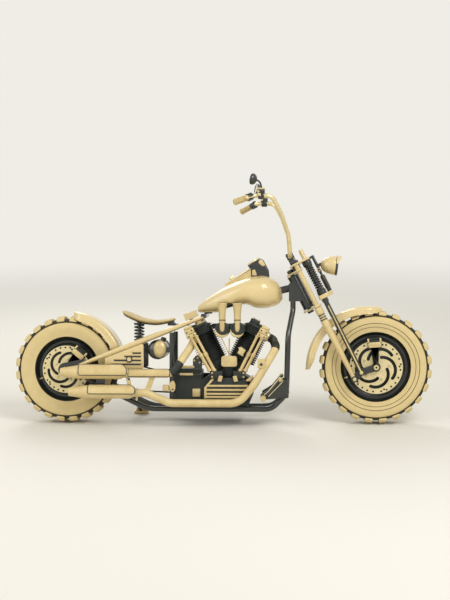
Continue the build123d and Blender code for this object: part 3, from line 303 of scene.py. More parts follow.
def feed(tree, node, **inputs):
    """Gives a node values, or sockets to link; a key such as _1 is an input's number."""
    for name, value in inputs.items():
        key = int(name[1:]) if name[1:].isdigit() else name.replace("_", " ")
        if isinstance(value, bpy.types.NodeSocket):
            tree.links.new(value, node.inputs[key])
        else:
            node.inputs[key].default_value = value
    return node


def put(tree, kind, settings=None, **inputs):
    """Adds a node with its settings and inputs."""
    node = tree.nodes.new(kind)
    for name, value in (settings or {}).items():
        setattr(node, name, value)
    return feed(tree, node, **inputs)


def noise(tree, place, size, **inputs):
    """Noise whose patches are some millimetres wide."""
    return put(tree, "ShaderNodeTexNoise", Vector=place, Scale=1000 / size, **inputs).outputs["Fac"]


def blend(tree, share, first, second):
    """Two colours mixed by a share: the node's inputs 6 and 7, and its output 2, are its colours."""
    return put(tree, "ShaderNodeMix", {"data_type": "RGBA"}, Factor=share, _6=first, _7=second).outputs[2]


def bump(tree, height, depth, strength):
    """Relief of a depth in millimetres."""
    node = put(tree, "ShaderNodeBump", Height=height, Distance=depth / 1000, Strength=strength)
    return node.outputs["Normal"]


def new_material(name):
    """A material among the finishes: its tree with a shader, and the object's coordinates."""
    material = bpy.data.materials.new(name)
    FINISHES[name] = material
    material.use_nodes = True
    tree = material.node_tree
    tree.nodes.clear()
    shader = put(tree, "ShaderNodeBsdfPrincipled")
    put(tree, "ShaderNodeOutputMaterial", Surface=shader.outputs["BSDF"])
    return tree, shader, put(tree, "ShaderNodeTexCoord").outputs["Object"]


def finish(name, colour, shade, patch, grain, depth, rough, spread, stretch=(1, 1, 1), **shader_values):
    """A finish: two tones drift over patches, with bumps of a grain's size, all in millimetres."""
    tree, shader, place = new_material(name)
    tones = put(tree, "ShaderNodeValToRGB", Fac=noise(tree, place, patch, Detail=4.0, Roughness=0.6))
    low, high = tones.color_ramp.elements
    low.position, high.position = 0.3, 0.7
    low.color, high.color = linear(shade), linear(colour)
    drawn = put(tree, "ShaderNodeMapping", Vector=place, Scale=stretch)
    fine = noise(tree, drawn.outputs["Vector"], grain, Detail=3.0)
    polish = put(tree, "ShaderNodeMapRange", Value=fine, To_Min=rough - spread, To_Max=rough + spread)
    feed(tree, shader, Base_Color=tones.outputs["Color"], Roughness=polish.outputs["Result"],
         Normal=bump(tree, fine, depth, 0.6), **shader_values)


# Each row: two tones, the patches' and the grain's size, the bumps' depth, the roughness, its spread.
# Baked enamel under clear lacquer on pressed steel: even colour, sharp gloss, faint orange peel
finish("cream_enamel", "#DCC68F", "#D6BF87", 180, 7, 0.03, 0.3, 0.05, Coat_Weight=0.8, Coat_Roughness=0.06)
# Ceramic coating on the exhausts: satin and chalky, a little darker where it has been hot
finish("ivory_coating", "#E0CB96", "#CBB279", 90, 1.2, 0.04, 0.42, 0.08)
# Polished steel in the print's warm tone: glossy, with fine rubbed lines
finish("bright_steel", "#E6D6A8", "#D8C795", 40, 3.0, 0.004, 0.28, 0.04, (1, 1, 6), Metallic=0.45)
# Enamel on the fork's forgings
finish("fork_enamel", "#DAC48D", "#CDB67F", 120, 5, 0.03, 0.32, 0.06, Coat_Weight=0.6, Coat_Roughness=0.1)
# Satin paint on cast aluminium covers
finish("cream_metal", "#D8C38E", "#C7B07B", 50, 1.6, 0.06, 0.38, 0.08, Metallic=0.25)
# Black enamel on steel tube: deep gloss
finish("black_frame", "#1B211C", "#141914", 90, 6, 0.03, 0.3, 0.06, Coat_Weight=0.7, Coat_Roughness=0.12)
# Wrinkle paint on engine castings: fine pebbled crust, dull
finish("black_engine", "#232A24", "#171C17", 40, 1.8, 0.22, 0.52, 0.1)
# Black powder coat on the dish wheels: even and half glossy
finish("black_wheel", "#191E1A", "#131713", 120, 1.4, 0.04, 0.36, 0.06, Coat_Weight=0.3, Coat_Roughness=0.2)
# Zinc plate on axles and springs: grey-gold, finely blotched
finish("zinc_steel", "#D6C796", "#C4B584", 30, 2.5, 0.006, 0.36, 0.05, Metallic=0.55)
# Ribbed hand and foot rubber: matt, greyed by wear
finish("grip_rubber", "#D2BD88", "#B9A472", 25, 0.9, 0.12, 0.78, 0.08)
# Belt rubber: matt black
finish("belt_rubber", "#1A1D1A", "#111311", 30, 0.9, 0.1, 0.8, 0.08)
# Spring steel under black oil: glossy black
finish("black_spring", "#20261F", "#151A15", 30, 2.0, 0.02, 0.28, 0.06, Coat_Weight=0.5)

# Cream tyre rubber: matt skin with a mould's fine grain; painted shade darkens the grooves and the gaps
# between the lugs, where the mesh marks them
tree, shader, place = new_material("tyre_rubber")
blotch = noise(tree, place, 45, Detail=5.0, Roughness=0.65)
groove_shade = put(tree, "ShaderNodeAttribute", {"attribute_name": "groove_shade"})
shade_share = put(tree, "ShaderNodeMath", {"operation": "MULTIPLY"}, _0=groove_shade.outputs["Fac"], _1=0.96)
unshaded = blend(tree, blotch, linear("#DECA96"), linear("#CDB781"))
feed(tree, shader, Base_Color=blend(tree, shade_share.outputs[0], unshaded, linear("#161B16")), Roughness=0.82,
     Normal=bump(tree, noise(tree, place, 1.1, Detail=3.0), 0.25, 0.5), Specular_IOR_Level=0.3)

# Waxed saddle leather: pebbled cells a few millimetres wide, darker in the creases
tree, shader, place = new_material("tan_leather")
cells = put(tree, "ShaderNodeTexVoronoi", {"feature": "DISTANCE_TO_EDGE"}, Vector=place, Scale=1000 / 3.2)
crease = put(tree, "ShaderNodeMapRange", Value=cells.outputs["Distance"], From_Max=0.18).outputs["Result"]
worn = noise(tree, place, 70, Detail=5.0, Roughness=0.6)
tones = blend(tree, worn, linear("#D9C48C"), linear("#C0A86F"))
polish = put(tree, "ShaderNodeMapRange", Value=worn, To_Min=0.42, To_Max=0.62)
feed(tree, shader, Base_Color=blend(tree, crease, linear("#A8915C"), tones),
     Roughness=polish.outputs["Result"], Normal=bump(tree, crease, 0.4, 0.7))

# Moulded lamp glass: clear, with upright flutes some 7 mm apart
tree, shader, place = new_material("clear_glass")
flutes = put(tree, "ShaderNodeTexWave", {"bands_direction": "Y"}, Vector=place, Scale=1000 / 7 / 6.28,
             Distortion=0.0)
feed(tree, shader, Base_Color=linear("#F3EEDD"), Roughness=0.05, Transmission_Weight=0.75, IOR=1.5,
     Normal=bump(tree, flutes.outputs["Fac"], 1.2, 0.8))

# Dial enamel and its print: black and cream, dull
finish("dial_black", "#171C17", "#131713", 20, 1.0, 0.01, 0.5, 0.05)
finish("dial_cream", "#E6D5A5", "#DFCD9B", 20, 1.0, 0.01, 0.5, 0.05)
# Silvered mirror glass: no colour of its own
finish("mirror_face", "#E9E6DD", "#E2DFD5", 60, 9, 0.002, 0.06, 0.02, Metallic=1.0)


CREASE = math.radians(32.0)


def piece(name, body, finish_name, *shapes, slot=None, replaces=(), marks=None):
    """One object made of shapes: welded, faces outwards, smooth up to an angle, riding on a body."""
    points, faces = join(*shapes)
    mesh = bpy.data.meshes.new(name)
    mesh.from_pydata(parked(points).tolist(), [], faces)
    # Painted shade of the tyres' grooves, one share a point
    if marks is not None:
        groove_shade = mesh.attributes.new("groove_shade", "FLOAT", "POINT")
        groove_shade.data.foreach_set("value", np.asarray(marks, np.float32))
    work = bmesh.new()
    work.from_mesh(mesh)
    bmesh.ops.remove_doubles(work, verts=work.verts, dist=1e-6)
    bmesh.ops.dissolve_degenerate(work, edges=work.edges, dist=1e-6)
    bmesh.ops.recalc_face_normals(work, faces=work.faces)
    work.to_mesh(mesh)
    work.free()
    mesh.polygons.foreach_set("use_smooth", np.ones(len(mesh.polygons), bool))
    mesh.set_sharp_from_angle(angle=CREASE)
    thing = bpy.data.objects.new(name, mesh)
    bpy.context.scene.collection.objects.link(thing)
    mesh.materials.append(FINISHES[finish_name])
    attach(thing, body)
    if replaces:
        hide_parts(*replaces)
    return thing


# Camera: 7.5 m away, square to the leaned machine, turned a little towards its front
AIM = np.array((897.8, 0.0, 697.7))
CAMERA_TURN, CAMERA_AWAY, PICTURE_HEIGHT, SENSOR = math.radians(3.4), 7500.0, 3420.0, 36.0
ahead = np.array((-math.sin(CAMERA_TURN), math.cos(CAMERA_TURN), 0.0))
place = Vector(parked(AIM - ahead * CAMERA_AWAY))
aim_at = Vector(parked(AIM))
picture_up = Vector(parked(AIM + (0, 0, 1000.0))) - aim_at
back = (place - aim_at).normalized()
right = picture_up.cross(back).normalized()
turn = Matrix((right, back.cross(right), back)).transposed()
camera_data = bpy.data.cameras.new("camera")
camera_data.lens = SENSOR * CAMERA_AWAY / PICTURE_HEIGHT
camera_data.sensor_width = SENSOR
camera = bpy.data.objects.new("camera", camera_data)
camera.matrix_world = Matrix.Translation(place) @ turn.to_4x4()
bpy.context.scene.collection.objects.link(camera)
bpy.context.scene.camera = camera

# Wheels
LUGS, LUG_DEPTH, GROOVE_DEPTH, CARCASS_SIDES = 24, 17.0, 2.4, 168


def resampled(line, count):
    """The same line with its points evenly spaced."""
    steps = np.concatenate([[0], np.cumsum(np.linalg.norm(np.diff(line, axis=0), axis=1))])
    even = np.linspace(0, steps[-1], count)
    return np.stack([np.interp(even, steps, column) for column in line.T], -1)


def smoothed(rows, steps=8):
    """Catmull-Rom curve through rows of numbers, steps points to a span."""
    p = np.asarray(rows, float)
    p = np.vstack([2 * p[0] - p[1], p, 2 * p[-1] - p[-2]])
    t = np.linspace(0, 1, steps, endpoint=False)[None, :, None]
    a, b, c, d = (p[i:len(p) - 3 + i][:, None] for i in range(4))
    square_term, cube_term = 2 * a - 5 * b + 4 * c - d, 3 * b - a - 3 * c + d
    curve = 0.5 * (2 * b + (c - a) * t + square_term * t ** 2 + cube_term * t ** 3)
    return np.vstack([curve.reshape(-1, p.shape[1]), p[-2:-1]])


def tyre(centre, radius, half, rim_r, bead, dark_rings):
    """Rounded carcass with moulded rings in its sidewalls, centre lugs and two rows of shoulder lugs.

    Gives the shapes and, for each point, how much painted shade darkens it."""
    base = radius - LUG_DEPTH
    side = [(0, base), (half * 0.5, base - 0.5), (half * 0.84, base - 9), (half * 0.985, base - 30),
            (half, base - 50), (half * 0.985, (base + rim_r) / 2 - 12), (half * 0.94, rim_r + 20),
            (half * 0.88, rim_r + 4), (half * 0.85, bead + 2), (half * 0.82, bead), (half * 0.79, bead + 2),
            (half * 0.79, rim_r + 0.6)]
    line = resampled(smoothed(side, 10), 130)
    line = np.vstack([line, (line * (-1, 1))[::-1]])
    y, r = line.T
    wall = np.abs(y) > half * 0.6
    cut = sum(np.exp(-((r - at) / wide) ** 2) * deep for at, wide, deep in dark_rings) * wall
    line = np.stack([y - np.sign(y) * np.minimum(cut, 1) * GROOVE_DEPTH, r], -1)
    # Painted shade: the moulded rings and the carcass between the lugs are darkened
    groove_shade = np.clip(cut + (r > dark_rings[0][0] - 2), 0, 1)
    face = math.sqrt(radius ** 2 - 15.0 ** 2)
    foot = dark_rings[0][0] + 5
    shoulder = [(foot - 1, 29), (radius - 3, 29), (radius - 7, half * 0.8), (foot + 7, half + 1),
                (foot, half - 2)]
    rows = ((square(base - 4, face, -24, 24), 38), (shoulder, 45), ([(r, -y) for r, y in shoulder], 45))
    turns = [bearing((i + 0.5) * 360 / LUGS - 90) for i in range(LUGS)]
    lugs = [plate(outline, -long / 2, long / 2, 4.0, 5.5, centre, turn, LEFT, 4)
            for turn in turns for outline, long in rows]
    unshaded = np.zeros(sum(len(points) for points, _ in lugs))
    marks = np.concatenate([np.tile(groove_shade, CARCASS_SIDES), unshaded])
    return [ring(centre, line, CARCASS_SIDES)] + lugs, marks


def dish(centre, half, rim_r, hub_half, web):
    """A dished wheel: barrel with rolled lips, a bowed web and a stepped hub, bored for its axle."""
    barrel = half * 0.74
    side = [(hub_half - 0.3, 10.5), (hub_half - 0.3, 30), (hub_half - 5, 36), (web + 8, 40), (web + 1, 58),
            (web - 3, 110), (web - 3, rim_r - 52), (web + 2, rim_r - 44), (web + 2, rim_r - 30),
            (barrel - 5, rim_r - 14), (barrel + 1, rim_r - 11), (barrel + 2, rim_r - 4), (barrel, rim_r)]
    return ring(centre, side + [(-y, r) for y, r in reversed(side)], 144, 3.5)


REAR_AXLE, FRONT_AXLE = np.array((0.0, 0.0, REAR_AXLE_Z)), np.array((WHEELBASE, 0.0, FRONT_AXLE_Z))
VALVE_BEARING, BOLT_BEARING, DISC_BOLTS = 200, 5.7, 5
WHEELS = {  # axle, tyre radius, half width, rim radius, bead, hub half, web half, bolt circle,
    # rings (radius, width, depth)
    "rear": (REAR_AXLE, 302.0, 73.0, 192.0, 184.0, 84.0, 30.0, 62.0, ((266, 2.6, 1.7),)),
    "front": (FRONT_AXLE, 318.0, 64.0, 210.0, 197.0, 78.0, 26.0, 73.6,
              ((286, 2.6, 1.7), (245, 1.5, 1.2), (224, 1.4, 1.0))),
}
for end, (axle, radius, half, rim_r, bead, hub_half, web, bolt_circle, rings) in WHEELS.items():
    body = f"{end}_wheel"
    shapes, groove_shade = tyre(axle, radius, half, rim_r, bead, rings)
    piece(f"{end}_tyre_tread", body, "tyre_rubber", *shapes, replaces=(f"{end}_tyre",), marks=groove_shade)
    piece(f"{end}_dish", body, "black_wheel", dish(axle, half, rim_r, hub_half, web),
          replaces=(f"{end}_rim",))
    out = bearing(VALVE_BEARING)
    stem_foot = axle + out * (rim_r - 12) - (0, web + 2, 0)
    valve = turned(stem_foot, (0, -0.5, 0) - out, [(0, 4), (24, 4), (24, 5.5), (34, 5.5)], 12, 0.8)
    piece(f"{end}_valve", body, "bright_steel", valve)
    spots = [bearing(BOLT_BEARING - 360 / DISC_BOLTS * i) * bolt_circle for i in range(DISC_BOLTS)]
    disc_bolts = [bolt(axle + spot - (0, hub_half + 5, 0), RIGHT, 6.5, 4.0) for spot in spots]
    piece(f"{end}_disc_bolts", body, "zinc_steel", *disc_bolts)

# Fuel tank: superellipse sections from nose to tail
TANK = (  # x, underside, top, half width
    (1226, 717, 729, 6), (1222, 700, 750, 36), (1213, 684, 776, 66), (1192, 667, 806, 104),
    (1130, 650, 836, 138), (1070, 653, 834, 144), (1014, 670, 824, 145), (930, 636, 791, 131),
    (859, 627, 752, 106), (800, 626, 712, 78), (762, 627, 682, 54), (748, 632, 668, 36), (743, 640, 660, 18),
)
NOTCH_REAR, NOTCH_FRONT, NOTCH_TOP = 866.0, 1006.0, 683.0


def superellipse_rows(rows, power, sides=72, steps=8):
    """Closed sections along X: |y / half| ** power + |z| ** power = 1 about the middle height."""
    dense = smoothed(rows, steps)[::-1]
    walls = [edge + side for edge in (NOTCH_REAR, NOTCH_FRONT) for side in (-0.4, 0.4)]
    x = np.sort(np.concatenate([dense[:, 0], walls]))[::-1]
    low, high, half = (np.interp(x, dense[:, 0], column) for column in dense.T[1:])
    angle = np.linspace(0, TURN, sides, endpoint=False)
    c, s = np.cos(angle), np.sin(angle)
    y = half[:, None] * np.sign(c) * np.abs(c) ** (2 / power)
    z = (high + low)[:, None] / 2 + (high - low)[:, None] / 2 * np.sign(s) * np.abs(s) ** (2 / power)
    return np.stack([np.broadcast_to(x[:, None], y.shape), y, z], -1)


skin = superellipse_rows(TANK, 2.45)
notched = (skin[..., 0] > NOTCH_REAR) & (skin[..., 0] < NOTCH_FRONT) & (skin[..., 2] < NOTCH_TOP)
skin[..., 2] = np.where(notched, NOTCH_TOP, skin[..., 2])
piece("tank_shell", "chassis", "cream_enamel", grid(skin, wrap_cols=True, caps=True), replaces=("fuel_tank",))
# The weld seams follow the points low on each side, short of both ends
seam_lines = [swept(skin[4:-8, column] + (0, 0, -1.5), circle(2.2, 8)) for column in (61, 47)]
piece("tank_seams", "chassis", "cream_enamel", *seam_lines)

WEDGE = ((897, 752), (902, 792), (1034, 874), (1052, 882), (1052, 800))
HOUSING = ((1046, 800), (1040, 878), (1026, 892), (1096, 935), (1118, 924), (1148, 868), (1154, 800))
UPPER_TRIM = ((1090, 908), (1096, 930), (1114, 921), (1130, 892), (1112, 888))
LOWER_TRIM = ((1054, 836), (1082, 836), (1070, 872), (1054, 866))
piece("console", "chassis", "cream_metal", plate(WEDGE, -45, 45, 12, 9, steps=6),
      plate(((902, 752), (905, 781), (1128, 868), (1140, 800)), -42, 42, 10, 4), replaces=("tank_console",))
piece("dial_housing", "chassis", "black_frame", plate(HOUSING, -45.6, 45.6, 14, 10, steps=6))
piece("housing_trim", "chassis", "cream_metal",
      mirrored(plate(UPPER_TRIM, -46.8, -42, 6, 2), plate(LOWER_TRIM, -46.8, -42, 5, 2)))
DIAL_TILT, DIAL_START = 31.7, -120
dial_up, dial_ahead, dial_base = bearing(90 + DIAL_TILT), bearing(DIAL_TILT), np.array((1060.0, 0, 914.0))


def on_dial(outline, low, high, degrees):
    """A thin plate on the dial; its outline runs outwards at an angle from straight ahead."""
    angle = math.radians(degrees)
    out = dial_ahead * math.cos(angle) + np.array(LEFT) * math.sin(angle)
    return plate(outline, low, high, 0, 0.1, dial_base, out, np.cross(dial_up, out), 2)


piece("dial_bezel", "chassis", "bright_steel",
      ring(dial_base, [(-2, 34), (-2, 40), (4, 40), (6.5, 38), (6.5, 35.5), (4.6, 34)], 64, 1.2, dial_up),
      replaces=("speedometer",))
piece("dial_face", "chassis", "dial_black", turned(dial_base, dial_up, [(-1, 35), (4, 35), (4.4, 34)], 64),
      slot="dial")
LONG_TICK, SHORT_TICK = square(23, 31, -0.8, 0.8), square(26.5, 31, -0.45, 0.45)
ticks = [on_dial(SHORT_TICK if i % 2 else LONG_TICK, 4.2, 4.9, DIAL_START + 10 * i) for i in range(25)]
piece("dial_marks", "chassis", "dial_cream", *ticks,
      on_dial([(-7, -1.6), (25, -0.5), (25, 0.5), (-7, 1.6)], 5.2, 6.0, DIAL_START),
      turned(dial_base, dial_up, [(4, 4.5), (6.8, 4.5), (7.4, 3.5)], 24), slot="dial")
CAP, RIB_CIRCLE = np.array((942.0, 0, 815.0)), 13
cap_up = unit((-0.53, 0, 0.85))
first, second = square_axes(cap_up)
ribs = [turned(CAP + cap_up * 6 + RIB_CIRCLE * (first * math.cos(a) + second * math.sin(a)), cap_up,
               [(0, 1.3), (10, 1.3)], 8, 0.4) for a in np.radians(np.arange(0, 360, 20))]
piece("filler_cap", "chassis", "bright_steel",
      turned(CAP, cap_up, [(-6, 10), (4, 10), (4, 13.2), (16, 13.2), (20, 9), (21, 3)], 48, 2), *ribs)

# Seat: a padded leather saddle on its pan, sewn near the edge
SADDLE = (  # x, middle height, half width, half thickness, side lift
    (314, 629, 20, 4, 2), (319, 625, 52, 10, 5), (334, 616, 92, 14, 8), (375, 597, 122, 15.5, 9),
    (425, 579, 128, 16, 7), (475, 571, 112, 15.5, 4), (520, 570, 84, 14.5, 1), (565, 577, 56, 12.5, -1),
    (594, 584, 46, 10.5, -2), (608, 587, 36, 7, -2), (613, 588, 18, 3.5, -1),
)


def saddle(rows, shrink=0.0, sides=64, steps=8):
    """Closed sections across the seat: crowned on top, nearly flat below, its sides lifted or lowered."""
    x, mid, half, thick, lift = smoothed(rows, steps).T[:, :, None]
    angle = np.linspace(0, TURN, sides, endpoint=False)[None]
    c, s = np.cos(angle), np.sin(angle)
    across = np.sign(c) * np.abs(c) ** 0.75
    up = np.sign(s) * np.abs(s) ** 0.8
    up = np.where(up > 0, up * (1.08 - 0.1 * np.abs(across)), up * 0.85)
    y = (half - shrink) * across
    z = mid + (thick - shrink * 0.4) * up + lift * across ** 2
    return np.stack([np.broadcast_to(x, y.shape), y, z], -1)


def stitches(path, above, long=6.0, gap=3.4, thick=0.9):
    """Short threads laid end to end along a closed line."""
    line = np.vstack([path, path[:1]])
    length = np.linalg.norm(np.diff(line, axis=0), axis=1).sum()
    count = int(length / (long + gap))
    even = resampled(line, count * 6 + 1) + above
    return [swept(even[i * 6:i * 6 + 5], circle(thick, 6), UP, scale=(0.5, 1, 1, 1, 0.5))
            for i in range(count)]


skin = saddle(SADDLE)
seat = piece("seat_leather", "chassis", "tan_leather", grid(skin, wrap_cols=True, caps=True),
             replaces=("seat_pad",))
# The welt runs up one edge and down the other, short of both tips; the stitches run inside it
edge = np.vstack([skin[3:-3, 1], skin[3:-3][::-1, 31]])
piece("seat_welt", "chassis", "tan_leather", swept(edge, circle(2.6, 8), UP, closed=True))
inner = saddle(SADDLE, shrink=11.0)[5:-5]
row = np.vstack([inner[:, 7], inner[::-1, 25]])
piece("seat_stitching", "chassis", "dial_cream", *stitches(row, (0, 0, 4.6)), slot="tan_leather")

pan = saddle([(x, mid - thick * 0.75 - 2, half - 7, 4, lift)
              for x, mid, half, thick, lift in SADDLE[1:-1]])
SPRING_X, SPRING_FOOT, SPRING_TOP = 407, 458.4, 561
LOWER_CUP, UPPER_CUP = [(0, 22), (3, 22), (4, 10), (24, 9), (24, 0)], [(0, 9), (2, 22), (8, 22)]
seat_springs, cups = [], []
for y in (-75, 75):
    seat_springs.append(coil((SPRING_X, y, SPRING_FOOT + 2), UP, 104, 17.5, 4.2, 6.5))
    cups.append(turned((SPRING_X, y, SPRING_FOOT), UP, LOWER_CUP, 32, 0.8))
    cups.append(turned((SPRING_X, y, SPRING_TOP), UP, UPPER_CUP, 32, 0.8))
piece("seat_coils", "chassis", "black_spring", *seat_springs, slot="zinc_steel")
piece("seat_base", "chassis", "black_frame", grid(pan, wrap_cols=True, caps=True), *cups,
      plate(((572, 552), (694, 552), (694, 562), (618, 563), (604, 577), (572, 570)), -30, 30, 4, 2),
      replaces=("seat_pan",))


# Fenders: a crowned channel round an arc, its ends rounded and its edge rolled over a wire
def fender(centre, radius, half, skirt, start, span, ends=9.0, power=2.0, crown=20.0, wall=3.0):
    """Rows round the arc. Within ends degrees of a tip, skirt and width shrink as a superellipse."""
    tips = np.linspace(0, ends, 14)[1:], np.linspace(span - ends, span, 14)[:-1]
    along = np.concatenate([tips[0], np.linspace(ends, span - ends, 60), tips[1]])
    angle = np.radians(along + start)
    away = np.clip(np.minimum(along, span - along) / ends, 0, 1)
    tip = np.clip(1 - (1 - away) ** power, 0, 1) ** (1 / power)
    right = [(-half, radius - skirt), (-half, radius - crown * 0.6), (-half + crown, radius - 2)]
    line = eased(right + [(0, radius)] + [(-y, r) for y, r in reversed(right)], 16, 8)
    inner = line * (1 - wall / half, 1) - (0, wall)
    inner[[0, -1], 1] += wall
    loop = np.vstack([line, inner[::-1]])
    y = loop[None, :, 0] * (0.35 + 0.65 * tip[:, None])
    r = radius - (radius - loop[None, :, 1]) * (0.25 + 0.75 * tip[:, None])
    points = np.stack([r * np.cos(angle)[:, None], y, r * np.sin(angle)[:, None]], -1) + centre
    last = len(line) - 1
    edge = np.vstack([points[:, 0], points[-1, 1:last], points[::-1, last], points[0, last - 1:0:-1]])
    wire = swept(resampled(edge, 260), circle(2.8, 8), (0.1, 0.05, 1), closed=True)
    return grid(points, wrap_cols=True, caps=True), wire


STAY_Y, STAY_RUN, SEAT_BAR_X, SEAT_BAR_Z = 122.0, np.array((678.0, 0, 265.0)), 713.8, 584.5
stay_long = np.linalg.norm(STAY_RUN)


def stay_height(x):
    """The height of the upper stays' axis."""
    return 341.0 + (x - 110.0) * STAY_RUN[2] / STAY_RUN[0]


stay = [(0, 7), (4, 9), (160, 14.5), (360, 15.5), (520, 12.5), (stay_long + 28, 8), (stay_long + 32, 6)]
piece("stay_tubes", "chassis", "cream_enamel",
      mirrored(turned((78, -STAY_Y, stay_height(78)), STAY_RUN, stay, 40, 3)),
      replaces=("frame_upper_stays",))
piece("stay_bars", "chassis", "black_frame", box(770, 798, 601, 620, -130, 130, 3, 2),
      box(369, 421, 450.4, SPRING_FOOT, -STAY_Y, STAY_Y, 2, 1.5),
      turned((SEAT_BAR_X, -STAY_Y, SEAT_BAR_Z), LEFT, [(0, 8), (2 * STAY_Y, 8)], 24))
piece("rear_fender_shell", "chassis", "cream_enamel", *fender(REAR_AXLE, 333, 88, 50, 18, 65),
      mirrored(box(273, 297, stay_height(285) - 12, stay_height(285) + 12, 85, 107, 4, 2)),
      replaces=("rear_fender",))
piece("front_fender_shell", "fork", "cream_enamel",
      *fender(np.array((1707.0, 0, 313.0)), 351, 80, 44, 76, 106, 14.0, 1.5),
      mirrored(box(1462, 1486, 546, 570, 77, 107, 4, 2)), replaces=("front_fender",))


# Engine
def bank_plate(side, outline, low, high, corner=10.0, ease=1.5, steps=3):
    """A plate square to a cylinder's axis; its outline is (outwards across the axis, Y)."""
    line = [(c, -side * y) for c, y in outline]
    return plate(line, low, high, corner, ease, CRANK, bank_axes(side)[1], (0, -side, 0), steps)


FINS, FIN_PITCH, FIN_THICK = 13, 12.3, 3.4
CAP_BOLTS = [(413, c * 0.96 + 2, y + 3) for c, y in ((30, -146), (68, -146), (30, -112), (68, -112))]
BOX_BOLTS = ((426, -36, -94), (426, -6, -94), (426, -36, 44), (426, -6, 44), (410, 34, -88), (410, 34, 42))
SIDE_SCREWS = ((361, 34, -149), (361, 64, -149), (388, 34, -151), (388, 64, -151), (414, -38, -105),
               (414, -6, -105))
barrels, barrel_fins, heads, rocker_covers, rocker_bases, rocker_bolts = [], [], [], [], [], []
for side in (-1, 1):
    along, out = bank_axes(side)
    barrels.append(turned(CRANK, along, [(116, 54), (182, 54), (182, 66), (346, 66)], 48))
    for s in 186 + FIN_PITCH * np.arange(FINS):
        barrel_fins.append(bank_plate(side, square(-78, 78, -78, 78), s, s + FIN_THICK, 46, 1.2, 2))
    heads.append(bank_plate(side, square(-63, 63, -98, 72), 344, 391, 24, 3))
    for s in (346, 357, 368, 379):
        heads.append(bank_plate(side, square(-72, 72, -107, 82), s, s + 4.2, 22, 1.2, 2))
    rocker_bases.append(bank_plate(side, square(-50, 50, -109, 60), 389, 403, 12, 2))
    rocker_bases.append(bank_plate(side, square(0, 45, -100, 52), 402, 412, 12, 3, 4))
    # The upper box shows cream on the rear cylinder and black on the front one
    upper_box = bank_plate(side, square(-47, 5, -106, 55), 400, 428, 13, 6, 5)
    pile = rocker_covers if side < 0 else rocker_bases
    pile.append(upper_box)
    rocker_covers.append(bank_plate(side, square(20, 78, -150, -107), 352, 372, 8, 2))
    rocker_covers.append(bank_plate(side, square(22, 76, -152, -107), 374, 402, 10, 2))
    rocker_covers.append(bank_plate(side, square(25, 73, -149, -107), 402, 418, 12, 5, 5))
    rocker_bolts += [bolt(bank_at(side, *spot), along, 4.0, 6.0) for spot in CAP_BOLTS]
    rocker_bolts += [bolt(bank_at(side, *spot), along, 4.5, 6.0) for spot in BOX_BOLTS]
    rocker_bases += [turned(bank_at(side, *spot), RIGHT, [(0, 4.2), (3.2, 4.2), (4, 3)], 12)
                     for spot in SIDE_SCREWS]
piece("cylinder_barrels", "chassis", "black_engine", *barrels, *barrel_fins, replaces=("cylinders",))
piece("head_castings", "chassis", "black_engine", *heads, replaces=("cylinder_heads",))
piece("rocker_covers", "chassis", "cream_metal", *rocker_covers, replaces=("rocker_boxes",))
piece("rocker_bases", "chassis", "black_engine", *rocker_bases)
piece("rocker_bolts", "chassis", "zinc_steel", *rocker_bolts)

# Pushrod tubes: a lower sleeve, a collar and the upper tube, between tappet block and head
tubes = []
for side, low, high in ((-1, 77, 58), (-1, 52, 27), (1, 88, 57), (1, 60, 27)):
    foot, top = np.array((915 + side * low, -132, 270.0)), bank_at(side, 380, high, -132)
    run = unit(top - foot)
    start = foot + run * (29 / run[2])
    long = np.linalg.norm(bank_at(side, 352, high, -132) - start)
    stations = [(0, 13), (9, 13), (12, 9.6), (long * 0.42, 9.6), (long * 0.43, 12.5), (long * 0.52, 12.5),
                (long * 0.53, 8), (long - 12, 8), (long - 9, 11.5), (long, 11.5)]
    tubes.append(turned(start, run, stations, 24, 0.8))
piece("pushrod_covers", "chassis", "cream_metal", *tubes, replaces=("pushrod_tubes",))

# Cam cover: a black casting with raised cream ribs, and the tappet blocks over it
COVER = ((789, 142), (1048, 142), (1048, 205), (1010, 262), (840, 262), (789, 205))
CORNER_RIB = ((789, 146), (803, 146), (803, 206), (846, 255), (836, 262), (789, 207))
TAPPET_PLATE = ((-58, 244), (-36, 240), (-27, 272), (-49, 276))
piece("cam_cover_casting", "chassis", "black_engine", plate(COVER, -132, -86, 14, 4), replaces=("cam_cover",))
ribs = [box(a, b, z - 6, z + 6, -141, -128, 4, 2.5)
        for z, a, b in ((154, 796, 1036), (172, 796, 1036), (194, 797, 1036), (217, 803, 1034))]
piece("cam_cover_ribs", "chassis", "cream_metal", *ribs, plate(CORNER_RIB, -139, -128, 4, 2.5))
piece("tappet_guides", "chassis", "black_engine",
      *[flipped(box(a, b, 258, 300, 88, 148, 6, 3)) for a, b in ((826, 892), (952, 1018))])
piece("tappet_plates", "chassis", "cream_metal",
      *[plate([(922 + lean * x, z) for x, z in TAPPET_PLATE], -152, -146, 3, 1.5) for lean in (1, -1)],
      *[bolt((x, -148, z), RIGHT, 4.0, 4) for x in (834, 1010) for z in (268, 290)])
